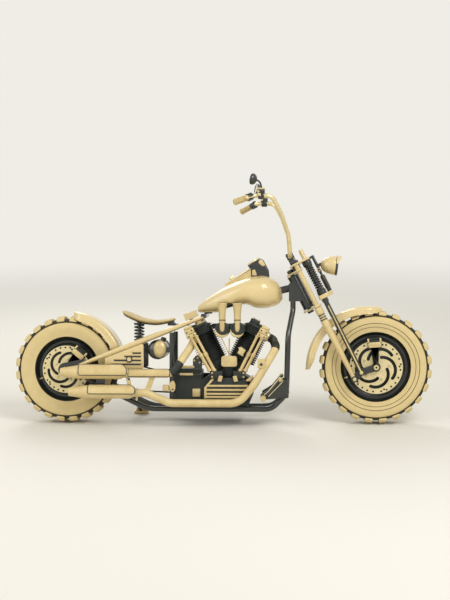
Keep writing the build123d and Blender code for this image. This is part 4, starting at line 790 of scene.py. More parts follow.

# Intake: two round bowls on one plenum, with upright flared stacks; a cream crescent along each bowl's lower
# rim is a painted highlight
BOWL = [(0, 30), (6, 41), (14, 43), (36, 43), (44, 40), (47, 34), (44, 31), (41, 30), (41, 0)]
STACK = [(0, 0), (0, 9), (10, 14), (32, 16.5), (62, 18.6), (98, 19.5), (124, 22), (148, 26), (158, 28),
         (161.5, 27), (159, 24.5), (132, 19), (100, 16), (96, 0)]
BOWL_Z, HIGHLIGHT_R = 532, 37
bowls, highlight_crescents, stacks = [], [], []
around = np.radians(np.linspace(160, 345, 32))[:, None]
fading = np.sin(np.linspace(0.2, math.pi - 0.2, 32))
for x in (891, 976):
    bowls.append(turned((x, -116, BOWL_Z), RIGHT, BOWL, 64, 1.5))
    bowls.append(turned((x, -150, 583), UP, [(0, 18), (0, 19.4), (5, 19.4), (5, 18)], 40, 0.6))
    # A painted highlight: a cream tube round the bowl's lower rim, thinning towards its ends
    lip = np.hstack([x + HIGHLIGHT_R * np.cos(around), np.full_like(around, -158),
                     BOWL_Z + HIGHLIGHT_R * np.sin(around)])
    highlight_crescents.append(swept(lip, circle(7.5, 14), scale=fading))
    stacks.append(turned((x, -150, 520), UP, STACK, 48, 2))
piece("intake_bowls", "chassis", "black_engine", *bowls, box(882, 984, 516, 560, -122, -60, 12, 4),
      replaces=("intake",))
piece("intake_horns", "chassis", "cream_metal", *stacks)
piece("bowl_highlights", "chassis", "cream_metal", *highlight_crescents)
ports = [bank_at(side, s, -70)[[0, 2]] for side, s in ((-1, 350), (-1, 380), (1, 380), (1, 350))]
piece("intake_manifold", "chassis", "black_engine", plate(ports, -60, 30, 14, 6))
piece("ignition_cover", "chassis", "cream_metal", box(886, 973, 325, 384, -155, -96, 12, 4),
      *[bolt((x, -155, z), RIGHT, 3.2, 2.6) for x in (896, 963) for z in (335, 374)],
      replaces=("ignition_box",))
piece("ignition_stalk", "chassis", "black_engine", box(900, 944, 266, 384, -96, -87, 4, 1))
piece("ignition_rod", "chassis", "cream_metal",
      turned((929, -125, 384), UP, [(0, 5), (8, 5), (8, 3.6), (98, 3.6)], 16),
      turned((1004, -150, 392), (-25, 0, 52), [(-8, 3), (-8, 4.5), (46, 4.5), (46, 3)], 16, 0.8))
piece("choke_block", "chassis", "black_engine",
      plate([(972, 400), (1004, 381), (1028, 419), (994, 443)], -154, -136, 4, 2.5),
      turned((1002, -138, 412), LEFT, [(0, 9), (84, 9)], 24))
# The choke cover, and a thin cream rod between the cylinders that is a painted highlight on the rear
# cylinder's edge
piece("choke_cover", "chassis", "cream_metal",
      plate([(976, 401), (1003, 385), (1023, 417), (994, 438)], -159, -153, 4, 2),
      turned((883, -118, 489), (49, 0, -105), [(0, 2.6), (116, 3.2)], 12))
piece("magneto_wedge", "chassis", "cream_metal",
      plate([(1014, 243), (1051, 243), (1074, 291)], -146, -128, 5, 3))

# Primary cover, left side: clutch and inspection covers, and the screws round its rim
COVER_FACE, COVER_MID_Z, COVER_REAR_X, COVER_FRONT_X = 149.4, 200.0, 700.0, 924.0
SCREW_LINE, CAP_LINE = 54.0, 38
CLUTCH_CAP = [(0, 0), (0, 45), (5, 45), (8, 42), (8, 33), (6.4, 31), (6.4, 0)]
SIGHT_CAP = [(0, 0), (0, 27), (4, 27), (6.5, 24), (6.5, 0)]


def cover_spots(x, reach, degrees):
    """Places (x, z) round a point of the cover's middle line."""
    return [(x + reach * math.cos(a), COVER_MID_Z + reach * math.sin(a)) for a in np.radians(degrees)]


piece("primary_caps", "chassis", "cream_metal",
      turned((COVER_REAR_X, COVER_FACE, COVER_MID_Z), LEFT, CLUTCH_CAP, 72, 1.5),
      turned((COVER_FRONT_X - 10, COVER_FACE, COVER_MID_Z), LEFT, SIGHT_CAP, 56, 1.5))
rim_spots = [(x, COVER_MID_Z + z) for z in (-SCREW_LINE, SCREW_LINE) for x in (727, 784, 840, 897)]
rim_spots += cover_spots(COVER_REAR_X, SCREW_LINE, (126, 180, 234))
rim_spots += cover_spots(COVER_FRONT_X, SCREW_LINE, (-54, 0, 54))
cap_spots = cover_spots(COVER_REAR_X, CAP_LINE, range(18, 360, 72))
case_spots = [(1032, 130), (1042, 180), (1042, 232), (1012, 258)]
screw_sets = ((rim_spots, COVER_FACE, 4.8), (cap_spots, COVER_FACE + 8, 3.8), (case_spots, 100, 6.5))
screws = [turned((x, y, z), LEFT, [(-1, r), (3.2, r), (4.4, r - 1.4), (4.4, 0)], 20, 0.6)
          for spots, y, r in screw_sets for x, z in spots]
piece("primary_screws", "chassis", "zinc_steel", *screws)

# Oil tank with domed ends, filler and bands
TANK_X, TANK_Z, TANK_R = 520, 417, 54
shell = [(0, 0), (2, 22), (8, 42), (20, TANK_R), (216, TANK_R), (228, 42), (234, 22), (236, 0)]
piece("oil_tank_shell", "chassis", "black_frame", turned((TANK_X, -118, TANK_Z), LEFT, shell, 72, 6),
      mirrored(box(552, 591, 402, 432, -116, -100, 4, 2)), replaces=("oil_tank",))
dome, dome_faces = turned((0, -114, 0), RIGHT, [(-14, 49), (0, 49), (8, 42), (15, 27), (18, 0)], 64, 5)
dome = dome * (0.76, 1, 1) + (537, 0, 421)
piece("oil_tank_domes", "chassis", "cream_metal", mirrored((dome, dome_faces)))
bands = [turned((TANK_X, y, TANK_Z), LEFT, [(0, TANK_R), (0, 55.5), (14, 55.5), (14, TANK_R)], 64, 0.6)
         for y in (-74, 64)]
piece("oil_tank_bands", "chassis", "black_frame", *bands,
      turned((540, 40, 466), (0.25, 0, 1), [(0, 16), (12, 16), (18, 12), (18, 0)], 32, 1.5))

# Side covers with pressed louvres
RING_X, RING_Z = 367, 364
top = [(x, stay_height(x) - 16.8) for x in (446, 228)]
louvres, slits = [], []
for z, rear in ((400, 384), (381, 339), (359, 279), (337, 264)):
    louvres.append(box(rear - 3, 436, z + 3, z + 10, -139, -131, 3.5, 2.6))
    slits.append(box(rear, 433, z - 6, z + 4, -135, -131, 3, 0.4))
slits.append(turned((RING_X, -133, RING_Z), RIGHT, [(0, 18), (8, 18), (9, 17), (9, 0)], 40, 0.6))
slits.append(plate([(230, 312), (444, 312)] + [(x, z - 2) for x, z in top], -114.5, -112, 8, 0.8))
ring_bolt = [(0, 12), (6, 12), (8, 10), (8, 5), (5, 4.5), (5, 0)]
piece("side_cover_panels", "chassis", "cream_enamel",
      mirrored(plate([(228, 310), (446, 310)] + top, -134, -114, 10, 3.5), *louvres),
      replaces=("side_covers",))
piece("side_cover_slits", "chassis", "black_frame", mirrored(*slits))
piece("side_cover_bolts", "chassis", "bright_steel",
      mirrored(turned((RING_X, -139, RING_Z), RIGHT, ring_bolt, 32, 0.8)))

# Exhaust
PIPE_Y, PIPE_R, UPPER_Z, LOWER_Z, LOW_RUN_Z = -185.0, 22, 286.0, 179.0, 123.0
UPPER_MUFFLER_Z, LOWER_MUFFLER_Z = UPPER_Z + 9, LOWER_Z + 5


def shield(x_low, x_high, z, radius, low, high, front, slope, wall=1.8, round_off=10.0):
    """A strip round a pipe along X between two angles, over a length.

    At its front end the upper edge falls to a third angle over the slope's length. Gives the strip
    and the bead round its edge."""
    x = x_low + (x_high - x_low) * (0.5 - 0.5 * np.cos(math.pi * np.linspace(0, 1, 48)))
    away = np.clip(np.minimum(x - x_low, x_high - x) / round_off, 0, 1)
    trim = (1 - np.sqrt(1 - (1 - away) ** 2)) * math.degrees(round_off / radius)
    upper = np.interp(x, [x_high - slope, x_high], [high, front]) - trim
    lower = low + trim
    share = np.concatenate([np.linspace(0, 1, 24), np.linspace(1, 0, 24)])
    r = radius + np.concatenate([np.full(24, wall), np.zeros(24)])
    turn = np.radians(lower[:, None] + (upper - lower)[:, None] * share)
    x = np.broadcast_to(x[:, None], turn.shape)
    points = np.stack([x, PIPE_Y - r * np.cos(turn), z + r * np.sin(turn)], -1)
    edge = np.vstack([points[:, 0], points[-1, 1:23], points[::-1, 23], points[0, 22:0:-1]])
    bead = swept(resampled(edge, 200), circle(2.4, 8), (0.6, -0.5, 0.6), closed=True)
    return grid(points, wrap_cols=True, caps=True), bead


def pipe_clamp(x, z, radius, wide=12.0):
    """A band round a pipe, with its two ears and their bolt below."""
    band = [(0, radius), (0, radius + 3), (wide, radius + 3), (wide, radius)]
    return join(turned((x, PIPE_Y, z), AHEAD, band, 48, 1),
                box(x + 2, x + wide - 2, z - radius - 20, z - radius + 2, PIPE_Y - 8, PIPE_Y + 8, 3, 1),
                bolt((x + wide / 2, PIPE_Y - 8, z - radius - 11), RIGHT, 4.5, 4))


LOW_BENDS, HIGH_BENDS = [120, 120, 110, 300, 45, 24], [70, 90, 60]
low_route = [(395, PIPE_Y, LOWER_Z), (470, PIPE_Y, LOWER_Z), (600, PIPE_Y, LOW_RUN_Z),
             (985, PIPE_Y, LOW_RUN_Z), (1070, PIPE_Y, 225), (1194, -176, 434), bank_at(1, 368, 112, -62),
             bank_at(1, 368, 70, -60)]
high_route = [(346, PIPE_Y, UPPER_Z), (612, PIPE_Y, UPPER_Z), (655, -178, 345), (713, -100, 437),
              (733, -95, 486)]
piece("header_pipes", "chassis", "ivory_coating", tube(low_route, LOW_BENDS, PIPE_R, sides=32, steps=16),
      tube(high_route, HIGH_BENDS, PIPE_R, sides=32, steps=16), replaces=("front_exhaust", "rear_exhaust"))
MUFFLERS = (  # rear end, height, tail radius, greatest radius, length, where the tail ends
    (31, LOWER_MUFFLER_Z, 23, 37, 370, 96), (-15, UPPER_MUFFLER_Z, 22, 39, 367, 104),
)
mufflers = []
for x, z, small, big, length, front in MUFFLERS:
    stations = [(46, 0), (46, 15), (4, 15.5), (0, 17.5), (0, small), (front, big), (length - 26, big),
                (length, 26), (length + 6, 25), (length + 6, 0)]
    mufflers.append(turned((x, PIPE_Y, z), AHEAD, stations, 64, 5))
piece("mufflers", "chassis", "ivory_coating", *mufflers)
strips, beads = zip(shield(144, 408, LOWER_MUFFLER_Z, 38.2, -12, 92, 38, 36),
                    shield(92, 362, UPPER_MUFFLER_Z, 40.2, -22, 92, 35, 36),
                    shield(368, 602, UPPER_Z, PIPE_R + 2, -35, 92, 60, 20))
piece("heat_shields", "chassis", "ivory_coating", *strips)
piece("shield_beads", "chassis", "black_frame", *beads)
piece("pipe_clamps", "chassis", "zinc_steel", pipe_clamp(356, UPPER_Z + 2, 25), pipe_clamp(410, LOWER_Z, 24))
piece("pipe_bracket", "chassis", "cream_metal",
      plate([(455, 186), (487, 186), (520, 272), (490, 272)], PIPE_Y - 8, PIPE_Y + 2, 5, 1.5),
      box(361, 383, 226, 250, PIPE_Y - 12, PIPE_Y + 4, 4, 2))
piece("muffler_strap", "chassis", "black_frame", box(366, 378, 214, 262, PIPE_Y - 7, PIPE_Y - 1, 2, 1))
# Black sleeves where the headers bend to their ports
rear_bend = eased(high_route, HIGH_BENDS, 16)
rear_bend = rear_bend[(rear_bend[:, 2] < 348) & (rear_bend[:, 0] > 604)]
front_bend = eased(low_route, LOW_BENDS, 16)
front_bend = front_bend[front_bend[:, 2] > 424]
piece("header_sleeves", "chassis", "black_engine",
      *[swept(bend, circle(PIPE_R + 2, 32)) for bend in (rear_bend, front_bend)])
piece("header_trim", "chassis", "cream_metal", box(1090, 1134, 319, 371, -206, -176, 7, 2.5))
piece("trim_bolts", "chassis", "black_frame", turned((1111, -205, 341), RIGHT, [(0, 8), (4, 8), (5, 6)], 20),
      turned((613, -152, 197), RIGHT, [(0, 5), (4.5, 5), (5, 4)], 16))

# Brake cylinder on the right seat tube, links and bolts in front of the gearbox
RODS = ((322, 158, 82), (280, 150, 74))  # height, the rod's length and its sleeve's
piece("brake_cylinder", "chassis", "cream_metal", box(556, 590, 186, 222, -150, -124, 6, 3),
      plate(circle(1, 40) * (17, 32) + (612, 214), -154, -138, 0, 3),
      turned((590, -130, 204), AHEAD, [(0, 10), (14, 10)], 20))
piece("shift_rods", "chassis", "black_frame",
      *[turned((612, -112, z), AHEAD, [(0, 4), (rod, 4)], 12) for z, rod, _ in RODS],
      *[turned((764, -116, z), LEFT, [(0, 5), (1, 6.5), (29, 6.5)], 16, 0.6) for z, _, _ in RODS],
      plate([(722, 304), (774, 304), (774, 380), (740, 386), (722, 364)], -97, -87.5, 8, 2))
piece("gearbox_trim", "chassis", "cream_metal", box(720, 764, 153, 198, -98, -87, 5, 2),
      *[turned((650, -112, z), AHEAD, [(0, 7), (sleeve, 7)], 20, 1) for z, _, sleeve in RODS],
      *[turned((x, -96, z), RIGHT, [(0, 6), (10, 6), (12, 4)], 16, 0.6)
        for x, z in ((750, 372), (731, 357), (761, 346))],
      bolt((628, -96, 298), RIGHT, 5, 4))
piece("port_flanges", "chassis", "bright_steel",
      turned(bank_at(1, 368, 73, -60), bank_axes(1)[1], [(0, 30), (10, 30), (10, 26), (16, 24)], 40, 1),
      turned((733, -95, 478), (-20, -23, -49), [(-4, 30), (6, 30), (8, 25), (14, 24)], 40, 1))


# Fork
def fork_plate(outline, low, high, corner=14.0, ease=2.0, steps=3):
    """A plate square to the legs; its outline is (ahead of the legs, Y)."""
    line = [(e, -y) for e, y in outline]
    return plate(line, low, high, corner, ease, fork_at(0, 0), LEG_AHEAD, RIGHT, steps)


def post(s, e, y, stations, sides=40, ease=1.2):
    """Circles along the legs' direction from a point of the fork."""
    return turned(fork_at(s, e, y), LEG_UP, stations, sides, ease)


LEG_Y, SPRING_Y, SPRING_E, DAMPER_E, STEM_E = 128.0, 70.0, 60.0, 105, -45
PIN = np.array((1666.0, 0, 293.0))
LOWER_LEG = [(-8, 6), (0, 10.5), (40, 12), (325, 21), (330, 21), (332, 22.6), (366, 22.6), (368, 18),
             (408, 18), (410, 22.6), (440, 22.6), (447, 20)]
UPPER_LEG = [(-4, 13.2), (276, 13.2), (276, 16.5), (288, 16.5), (292, 11), (292, 0)]
legs = mirrored(post(0, 0, LEG_Y, LOWER_LEG, 48, 2.0), post(448, 0, LEG_Y, UPPER_LEG, 48))
feet = mirrored(turned(LEG_FOOT + (0, 109.6, 0), LEFT, [(0, 15), (2, 17), (30, 17), (32, 15)], 40, 1))
piece("fork_legs", "fork", "fork_enamel", legs, replaces=("fork_rear_legs",))
leg_rings = [post(s, 0, y, [(0, 18), (0, 20.5), (6, 20.5), (6, 18)], 40, 0.8)
             for y in (-LEG_Y, LEG_Y) for s in (371, 385, 399)]
piece("leg_rings", "fork", "black_frame", *leg_rings, feet)


def even_sided(half_outline):
    """An outline (ahead, Y) from its left half, which starts at the rear."""
    right = [(e, -y) for e, y in reversed(half_outline)]
    return right[-1:] + half_outline + right[:-1]


lower_tree = even_sided([(-84, 34), (-40, 96), (-14, 152), (22, 152), (26, 96)])
upper_tree = even_sided([(-76, 30), (-34, 90), (-12, 150), (22, 150)])
top_plate = even_sided([(-40, 60), (-20, 150), (30, 150), (86, 100)])
piece("fork_clamps", "fork", "fork_enamel", fork_plate(lower_tree, 451, 462, 16, 3, 4),
      fork_plate(upper_tree, 677, 688, 16, 3, 4), fork_plate(top_plate, 714, 725, 16, 3, 4),
      replaces=("fork_trees",))
risers = mirrored(fork_plate(square(-28, 12, 32, 58), 724, 762, 9, 3),
                  fork_plate(square(-30, 14, 31, 59), 763, 775.5, 9, 2.5),
                  fork_plate(square(-30, 14, 31, 59), 777, 794, 12, 5, 5),
                  *[bolt(fork_at(793, e, y), LEG_UP, 4, 4) for e in (-22, 6) for y in (38, 52)])
piece("bar_risers", "fork", "black_frame", risers, fork_plate(square(-28, 18, -58, 58), 686, 716, 8, 1.5),
      fork_plate(square(80, 114, -15, 15), 712, 726, 6, 2),
      fork_plate(square(97, 114, -15, 15), 626, 716, 5, 2),
      turned(fork_at(660, 112), LEG_AHEAD, [(0, 9), (38, 9), (44, 14)], 28, 2))
STEM = [(438, 0), (438, 17), (446, 19), (450, 19), (450, 13), (690, 13), (690, 21), (704, 21), (710, 14),
        (710, 0)]
piece("stem_nuts", "fork", "black_frame", post(0, STEM_E, 0, STEM),
      *[post(s, STEM_E, 0, [(0, 13), (0, 34), (7, 34), (7, 13)], 48) for s in (466.5, 666.0)],
      mirrored(post(726, 0, LEG_Y, [(0, 20), (12, 20), (15, 16), (15, 8)], 6, 0.6)))

# Sprung legs, from the perch under the springs down to the rockers' middle pins
perch = fork_at(478, 57)
leg_run = PIN - perch
leg_long = np.linalg.norm(leg_run)
SPRUNG_LEG = [(-14, 17), (20, 17), (26, 13), (leg_long - 40, 13), (leg_long - 24, 10.5), (leg_long, 10.5)]
piece("sprung_legs", "fork", "black_frame",
      mirrored(turned(perch + (0, LEG_Y, 0), leg_run, SPRUNG_LEG, 32, 2),
               turned(PIN + (0, 110, 0), LEFT, [(0, 15), (2, 17), (28, 17), (30, 15)], 32, 1)),
      replaces=("fork_front_legs",))
# A painted highlight: a thin cream rod along the outer side of each black sprung leg
highlight_side = np.array((0, LEG_Y + 15, 0))
highlight_ends = [PIN - leg_run * 0.02 - highlight_side, perch + leg_run * 0.1 - highlight_side]
perch_outline = [(30, -146), (84, -146), (86, -60), (118, -17), (118, 17), (86, 60), (84, 146), (30, 146)]
piece("perch_and_highlights", "fork", "fork_enamel", fork_plate(perch_outline, 478, 502, 12, 4, 5),
      mirrored(swept(highlight_ends, circle(3.2, 10), scale=(1.4, 0.9)),
               turned(PIN - (0, LEG_Y + 16, 0), RIGHT, [(0, 8), (4, 8), (6, 5)], 24, 0.8)))

springs, cups = [], []
for y in (-SPRING_Y, SPRING_Y):
    springs.append(coil(fork_at(526, SPRING_E, y), LEG_UP, 162, 18.3, 5.2, 11.5, per_turn=22))
    springs.append(post(0, SPRING_E, y, [(502, 25), (504, 26), (523, 26), (527, 24), (527, 12)]))
    springs.append(post(0, SPRING_E, y, [(686, 12), (686, 24), (690, 26), (710, 26), (712, 25)]))
    springs.append(post(0, SPRING_E, y, [(504, 9), (712, 9)], 24, 0))
    cups.append(post(0, SPRING_E, y, [(726, 14), (730, 14), (731, 12.5), (779, 12.5), (784, 9), (784, 0)]))
piece("fork_coils", "fork", "black_spring", *springs, slot="black_frame", replaces=("fork_springs",))
# Painted highlights: two thin cream rods along the sides of the black damper
damper_highlights = [swept([fork_at(s, DAMPER_E + e, -3) for s in (520, 598)], circle(1.7, 8))
              for e in (-13.5, 13.5)]
piece("spring_caps", "fork", "fork_enamel", *cups, *damper_highlights,
      ring(fork_at(636, DAMPER_E - 2, -17), [(0, 6), (0, 10.5), (9, 10.5), (9, 6)], 32, 0.8))
DAMPER = [(500, 0), (500, 13), (524, 13), (526, 14), (596, 14), (599, 12), (599, 7), (622, 7), (622, 11),
          (634, 11), (634, 0)]
piece("fork_damper_body", "fork", "black_spring", post(0, DAMPER_E, 0, DAMPER, 40, 1),
      turned(fork_at(514, DAMPER_E, -14), LEFT, [(0, 6), (0, 9), (28, 9), (28, 6)], 24, 0.8),
      slot="black_frame")

# Rockers: a round-ended plate from the leg's foot to the middle pin, and one from there to the axle
ROCKER_R = 19
rockers = []
for start, end in ((LEG_FOOT, PIN), (PIN, FRONT_AXLE)):
    run = end - start
    along = unit(run)
    tip = arc(ROCKER_R, -90, 90, 14)
    outline = np.vstack([tip + (np.linalg.norm(run), 0), -tip])
    rockers.append(plate(outline, 92, 104, 0, 2.5, start, along, (-along[2], 0, along[0]), 4))
PIN_STEPS = [(0, 11), (13, 13), (16, 13), (18.6, 13), (18.6, 7.9), (50, 7.9), (50, 10), (56, 10), (58, 7),
             (58, 0)]
pins = [turned(spot + (0, 91, 0), LEFT, PIN_STEPS, 28, 0.6) for spot in (LEG_FOOT, PIN)]
piece("rocker_plates", "fork", "black_frame", mirrored(*rockers), replaces=("fork_rockers",))
piece("rocker_pins", "fork", "zinc_steel", mirrored(*pins))

# Headlight: bowl, rim, fluted glass, reflector, peaked visor
LAMP_BACK, LAMP_TILT = np.array((1444.0, 0, 901.0)), -6.0
lamp_out, lamp_up = bearing(LAMP_TILT), bearing(90 + LAMP_TILT)
LAMP_BOWL = [(-3, 0), (-3, 9), (4, 24), (18, 39), (40, 49), (66, 53), (84, 54), (84, 50), (60, 47),
             (30, 37), (10, 18), (8, 0)]
LAMP_RIM = [(83, 50), (83, 56), (93, 56), (96, 53), (94, 47), (90, 47), (88, 50)]
piece("lamp_bowl", "fork", "cream_enamel", turned(LAMP_BACK, lamp_out, LAMP_BOWL, 72, 10),
      replaces=("headlight_bucket",))
piece("lamp_rim", "fork", "black_frame", ring(LAMP_BACK, LAMP_RIM, 72, 1.5, lamp_out))
piece("lamp_glass", "fork", "clear_glass",
      turned(LAMP_BACK, lamp_out, [(86, 49.6), (88, 49), (93, 41), (97, 27), (99, 0)], 72, 8),
      slot="clear_glass", replaces=("headlight_lens",))
piece("lamp_reflector", "fork", "bright_steel",
      turned(LAMP_BACK, lamp_out, [(85, 48.5), (70, 45), (48, 35), (34, 18), (32, 0)], 64, 6),
      turned(LAMP_BACK, lamp_out, [(34, 6), (52, 6), (58, 9), (66, 8), (70, 0)], 24, 2))
# The visor reaches furthest over the middle: sections of a thin strip, 80 degrees to each side
t = np.linspace(-1, 1, 40)
wide = np.radians(80) * t[:, None]
reach = 26 * np.sqrt(np.clip(1 - t ** 2 * 0.98, 0, 1))[:, None]
radial = np.sin(wide) * LEFT + np.cos(wide) * lamp_up
rows = [LAMP_BACK + (86 + share * reach) * lamp_out + r * radial
        for r, share in ((57.6, 0.0), (57.8, 1.0), (56.0, 1.0), (56.0, 0.0))]
piece("lamp_visor", "fork", "cream_enamel", grid(np.stack(rows, 1), wrap_cols=True, caps=True))

# Handlebar, grips, levers, mirrors
BAR_R = 12.7
bar_x, _, bar_z = fork_at(774, -8)
half_bar = [(bar_x, -86, bar_z), (1260, -150, 1062), (1219, -246, 1181), (1172, -298, 1268),
            (1068, -298, 1268), (979, -390, 1228)]
bar_route = half_bar[::-1] + [(x, -y, z) for x, y, z in half_bar]
bar_path = eased(bar_route, [50, 50, 200, 150, 38, 38, 150, 200, 50, 50], 12)
piece("bar_tube", "fork", "bright_steel", swept(bar_path, circle(BAR_R, 28), (1, 0, 0.35)),
      replaces=("handlebar",), slot="bright_steel")


def ribbed(start, pitch, count, high, low, steps):
    """Stations of even ribs; steps are where each rib ends, its groove begins and its groove ends."""
    return [(start + add + pitch * k, r) for k in range(count)
            for add, r in zip((0, *steps), (high, high, low, low))]


GRIP = [(-7, 0), (-7, 13), (-4, 18), (2, 18), *ribbed(4, 6.6, 13, 16.8, 15.2, (3.4, 4.0, 6.0)),
        (91, 16.8), (92, 20), (96, 20), (97, 13)]
CLAMP = [(0, BAR_R), (0, 19), (4, 20), (28, 20), (32, 19), (32, BAR_R)]
SWITCHES = [(90, 13), (90, 20.5), (93, 22), (120, 22), (124, 19), (124, 12.6)]
MIRROR = [(0, 0), (0, 9), (5, 19), (12, 27), (20, 31), (28, 31.5), (30, 31), (30, 28.5), (27, 28.5), (26, 0)]
BALL, BLADE = arc(8.5, 180, 0, 14), circle(1, 16) * (9, 3.6)
hand_grips, levers, lever_balls, masters, master_caps, mirror_backs, mirror_glasses = ([] for _ in range(7))
for side in (-1, 1):
    tip, root = np.array((979, side * 390, 1228.0)), np.array((1068, side * 298, 1268.0))
    run = unit(root - tip)
    hand_grips.append(turned(tip, run, GRIP, 40))
    aside = (0, side * 300, 0)
    masters.append(turned((1097, side * 298, 1268.0), AHEAD, CLAMP, 36, 1))
    masters.append(box(1092, 1134, 1280, 1303, -19, 19, 5, 3, aside))
    masters.append(turned(tip, run, SWITCHES, 36, 1.2))
    master_caps.append(box(1090, 1136, 1301, 1310, -20, 20, 5, 2, aside))
    master_caps.append(turned((1098, side * 300 - 20, 1290), LEFT, [(0, 7), (40, 7)], 20, 0.8))
    pivot, end = np.array((1104, side * 318, 1272.0)), (1041, side * 380, 1250)
    path = smoothed([pivot, (1086, side * 338, 1266), (1062, side * 362, 1255), end], 10)
    levers.append(swept(path, BLADE, UP, scale=np.linspace(1.15, 0.75, len(path))))
    levers.append(turned(pivot - (0, 0, 8), UP, [(0, 7), (1, 9), (15, 9), (16, 7)], 24, 0.8))
    lever_balls.append(turned(end, AHEAD, BALL, 24))
    head, face = np.array((1090, side * 330, 1352.0)), unit((-0.9, -side * 0.3, 0.2))
    stem = [(1113, side * 300, 1300), (1114, side * 304, 1318), (1106, side * 318, 1340), head + face * 2]
    mirror_backs.append(turned(head, face, MIRROR, 64, 3))
    mirror_backs.append(swept(smoothed(stem, 8), circle(5, 14), (0, 1, 0.1)))
    mirror_glasses.append(turned(head, face, [(25, 28), (28.2, 28), (28.6, 27), (28.8, 0)], 64))
piece("hand_grips", "fork", "grip_rubber", *hand_grips, replaces=("grips",))
piece("control_clamps", "fork", "black_frame", *masters, replaces=("hand_controls",))
piece("master_caps", "fork", "cream_metal", *master_caps)
piece("hand_levers", "fork", "bright_steel", *levers, *lever_balls)
piece("mirror_backs", "fork", "black_frame", *mirror_backs)
piece("mirror_glass", "fork", "mirror_face", *mirror_glasses, slot="clear_glass")

# Forward controls: arm, ribbed peg, pedal link and toe peg on each side
ARM = ((1228, 150), (1262, 150), (1262, 250), (1230, 250), (1105, 172), (1105, 140))
PEG = [(0, 11), (14, 11), (15, 15), *ribbed(18, 9.4, 8, 15, 12.8, (4, 4.8, 8)),
       (93, 15), (97, 15), (98.5, 12), (98.5, 0)]
TOE_PEG = [(0, 11), (4, 11), *ribbed(8, 9, 5, 11, 9, (4, 4.8, 7.6)), (52, 11), (53, 8), (53, 0)]
piece("control_arms", "chassis", "black_frame",
      mirrored(plate(ARM, -152, -137.4, 8, 3),
               tube([(1121, -158, 152), (1150, -158, 176), (1217, -158, 257)], [40], 7),
               *[bolt((1245, -152, z), RIGHT, 7, 5) for z in (235, 170)]), replaces=("foot_controls",))
piece("foot_pegs", "chassis", "grip_rubber",
      mirrored(turned((1121, -151, 152), RIGHT, PEG, 36), turned((1217, -162, 257), RIGHT, TOE_PEG, 32)))
piece("pedal_links", "chassis", "bright_steel",
      mirrored(swept([(1126, -164, 170), (1146, -164, 186), (1206, -164, 258)], circle(2.2, 8)),
               swept([(1150, -156, 160), (1232, -156, 246)], circle(2.2, 8)),
               turned((1213, -160, 262), RIGHT, [(0, 7), (1, 8), (10, 8), (12, 5), (12, 0)], 28, 0.8),
               turned((1119, -160, 156), RIGHT, [(0, 10), (1, 11), (8, 11), (10, 8), (10, 0)], 32, 0.8)))

# Side stand: it turns about its boss, and its foot lies flat on the floor
STAND_PIVOT, STAND_FOOT = np.array((368.0, 162.0, 112.0)), np.array((392.0, 228.0, 32.1))
FLOOR_ACROSS = np.array((0, math.cos(LEAN), math.sin(LEAN)))
FLOOR_UP = np.cross(AHEAD, FLOOR_ACROSS)
BOSS = [(0, 15), (2, 17), (22, 17), (24, 15), (24, 6.4), (0, 6.4)]
FOOT_WEB = ((-34, 2), (42, 2), (44, 14), (32, 60), (10, 62), (-14, 34))
ankle = STAND_FOOT + 12 * FLOOR_UP
stand_run = STAND_PIVOT - ankle
stand_axis = unit((0, -stand_run[2], stand_run[1]))
piece("stand_leg", "stand", "black_frame",
      turned(ankle, stand_run, [(0, 11), (np.linalg.norm(stand_run), 11)], 28),
      turned(STAND_PIVOT - stand_axis * 12, stand_axis, BOSS, 36, 0.6), replaces=("side_stand",))
piece("stand_foot", "stand", "cream_metal",
      box(-43, 43, -21, 21, -16, 0, 12, 3, STAND_FOOT, AHEAD, FLOOR_ACROSS, 4),
      plate(FOOT_WEB, -6, 6, 6, 3, ankle, AHEAD, stand_run, 4))

# Calipers: a carrier on the axle, two halves beside the disc and a bridge over its edge, all black
CALIPERS = (  # end, body, axle, disc radius, disc middle, carrier from and to, inner face, bearing
    ("rear", "chassis", REAR_AXLE, 134.0, 86.5, 106.0, 112.0, 72.0, 50.0),
    ("front", "fork", FRONT_AXLE, 149.0, 80.5, 104.0, 110.0, 66.0, 94.0),
)
for end, body, axle, disc_r, disc_y, carrier_in, carrier_out, inner, degrees in CALIPERS:
    axes = dict(origin=axle, across=bearing(degrees), up=bearing(degrees + 90))
    middle = disc_r - 16.0
    low, high = middle - 32, middle + 32
    carrier = np.vstack([[(middle - 20, -22), (middle - 20, 22)], arc(22, -90, -270, 16)])
    castings = [plate(carrier, carrier_in, carrier_out, 0, 1.5, **axes),
                box(low, high, -38, 38, disc_y + 4.5, carrier_in, 9, 3, **axes),
                box(low, high, -38, 38, inner, disc_y - 4.5, 9, 2, **axes),
                box(disc_r + 2, high, -38, 38, inner, carrier_in, 5, 2, **axes)]
    trims = [box(middle - 22, middle + 8, -36, 36, carrier_in - 4, carrier_out + 1, 9, 2.5, **axes)]
    trims += [box(middle + 8, middle + 30, aside - 5, aside + 5, carrier_in - 4, carrier_out, 3, 1.5, **axes)
              for aside in (-34, 34)]
    piece(f"{end}_caliper_casting", body, "black_engine", *map(flipped, castings),
          replaces=(f"{end}_caliper",))
    piece(f"{end}_caliper_trim", body, "cream_metal", *map(flipped, trims))

# Finishes of the CAD nodes that stay
slot_of = {part["node"]: part["material_slot"] for part in frame["record"]["subparts"]}
for node, thing in frame["nodes"].items():
    if not thing.hide_render:
        thing.data.materials.clear()
        thing.data.materials.append(FINISHES.get(slot_of.get(node), FINISHES["black_frame"]))

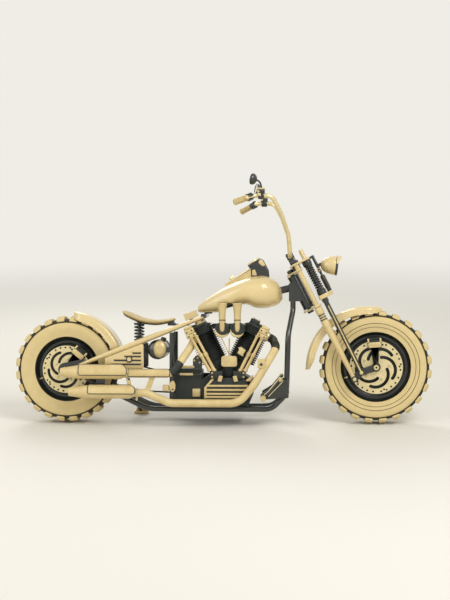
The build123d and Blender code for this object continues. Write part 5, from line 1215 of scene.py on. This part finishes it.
# Floor, sky and lamps: the floor is lit near the machine and fades into the sky's tone
PALE, FLOOR_HALF = linear("#EFEDE6"), 40.0
floor_mesh = bpy.data.meshes.new("floor")
floor_mesh.from_pydata([(x, y, 0) for x, y in square(-FLOOR_HALF, FLOOR_HALF, -FLOOR_HALF, FLOOR_HALF)], [],
                       [(0, 1, 2, 3)])
floor = bpy.data.objects.new("floor", floor_mesh)
bpy.context.scene.collection.objects.link(floor)
tree, shader, place = new_material("pale_floor")
feed(tree, shader, Base_Color=linear("#E4E1D8"), Roughness=0.85)
glow = put(tree, "ShaderNodeEmission", Color=PALE, Strength=1.0)
away = put(tree, "ShaderNodeVectorMath", {"operation": "LENGTH"}, _0=place)
fade = put(tree, "ShaderNodeMapRange", {"interpolation_type": "SMOOTHSTEP"}, Value=away.outputs["Value"],
           From_Min=2.2, From_Max=9.0)
mixed = put(tree, "ShaderNodeMixShader", Fac=fade.outputs["Result"], _1=shader.outputs["BSDF"],
            _2=glow.outputs["Emission"])
output = next(node for node in tree.nodes if node.type == "OUTPUT_MATERIAL")
feed(tree, output, Surface=mixed.outputs["Shader"])
floor_mesh.materials.append(FINISHES["pale_floor"])

bpy.context.scene.view_settings.view_transform = "Standard"
world = bpy.data.worlds.new("pale_sky")
bpy.context.scene.world = world
world.use_nodes = True
tree = world.node_tree
tree.nodes.clear()
ray = put(tree, "ShaderNodeLightPath").outputs
seen = put(tree, "ShaderNodeBackground", Color=PALE, Strength=1.0)
lit = put(tree, "ShaderNodeBackground", Color=linear("#F4F2EC"), Strength=0.62)
direct = put(tree, "ShaderNodeMath", {"operation": "MAXIMUM"}, _0=ray["Is Camera Ray"],
             _1=ray["Is Glossy Ray"])
chosen = put(tree, "ShaderNodeMixShader", Fac=direct.outputs[0], _1=lit.outputs["Background"],
             _2=seen.outputs["Background"])
put(tree, "ShaderNodeOutputWorld", Surface=chosen.outputs["Shader"])


def lamp(name, place, size, power, aim=(0, 0, 0.6)):
    """A soft square lamp turned to a point."""
    data = bpy.data.lights.new(name, "AREA")
    data.size, data.energy = size, power
    thing = bpy.data.objects.new(name, data)
    thing.location = place
    thing.rotation_euler = (Vector(aim) - Vector(place)).to_track_quat("-Z", "Y").to_euler()
    bpy.context.scene.collection.objects.link(thing)


lamp("key", (2.6, -3.4, 4.2), 2.6, 150)
lamp("fill", (-3.4, -3.0, 2.6), 3.0, 60)
lamp("back", (-1.5, 3.8, 3.8), 2.6, 90)
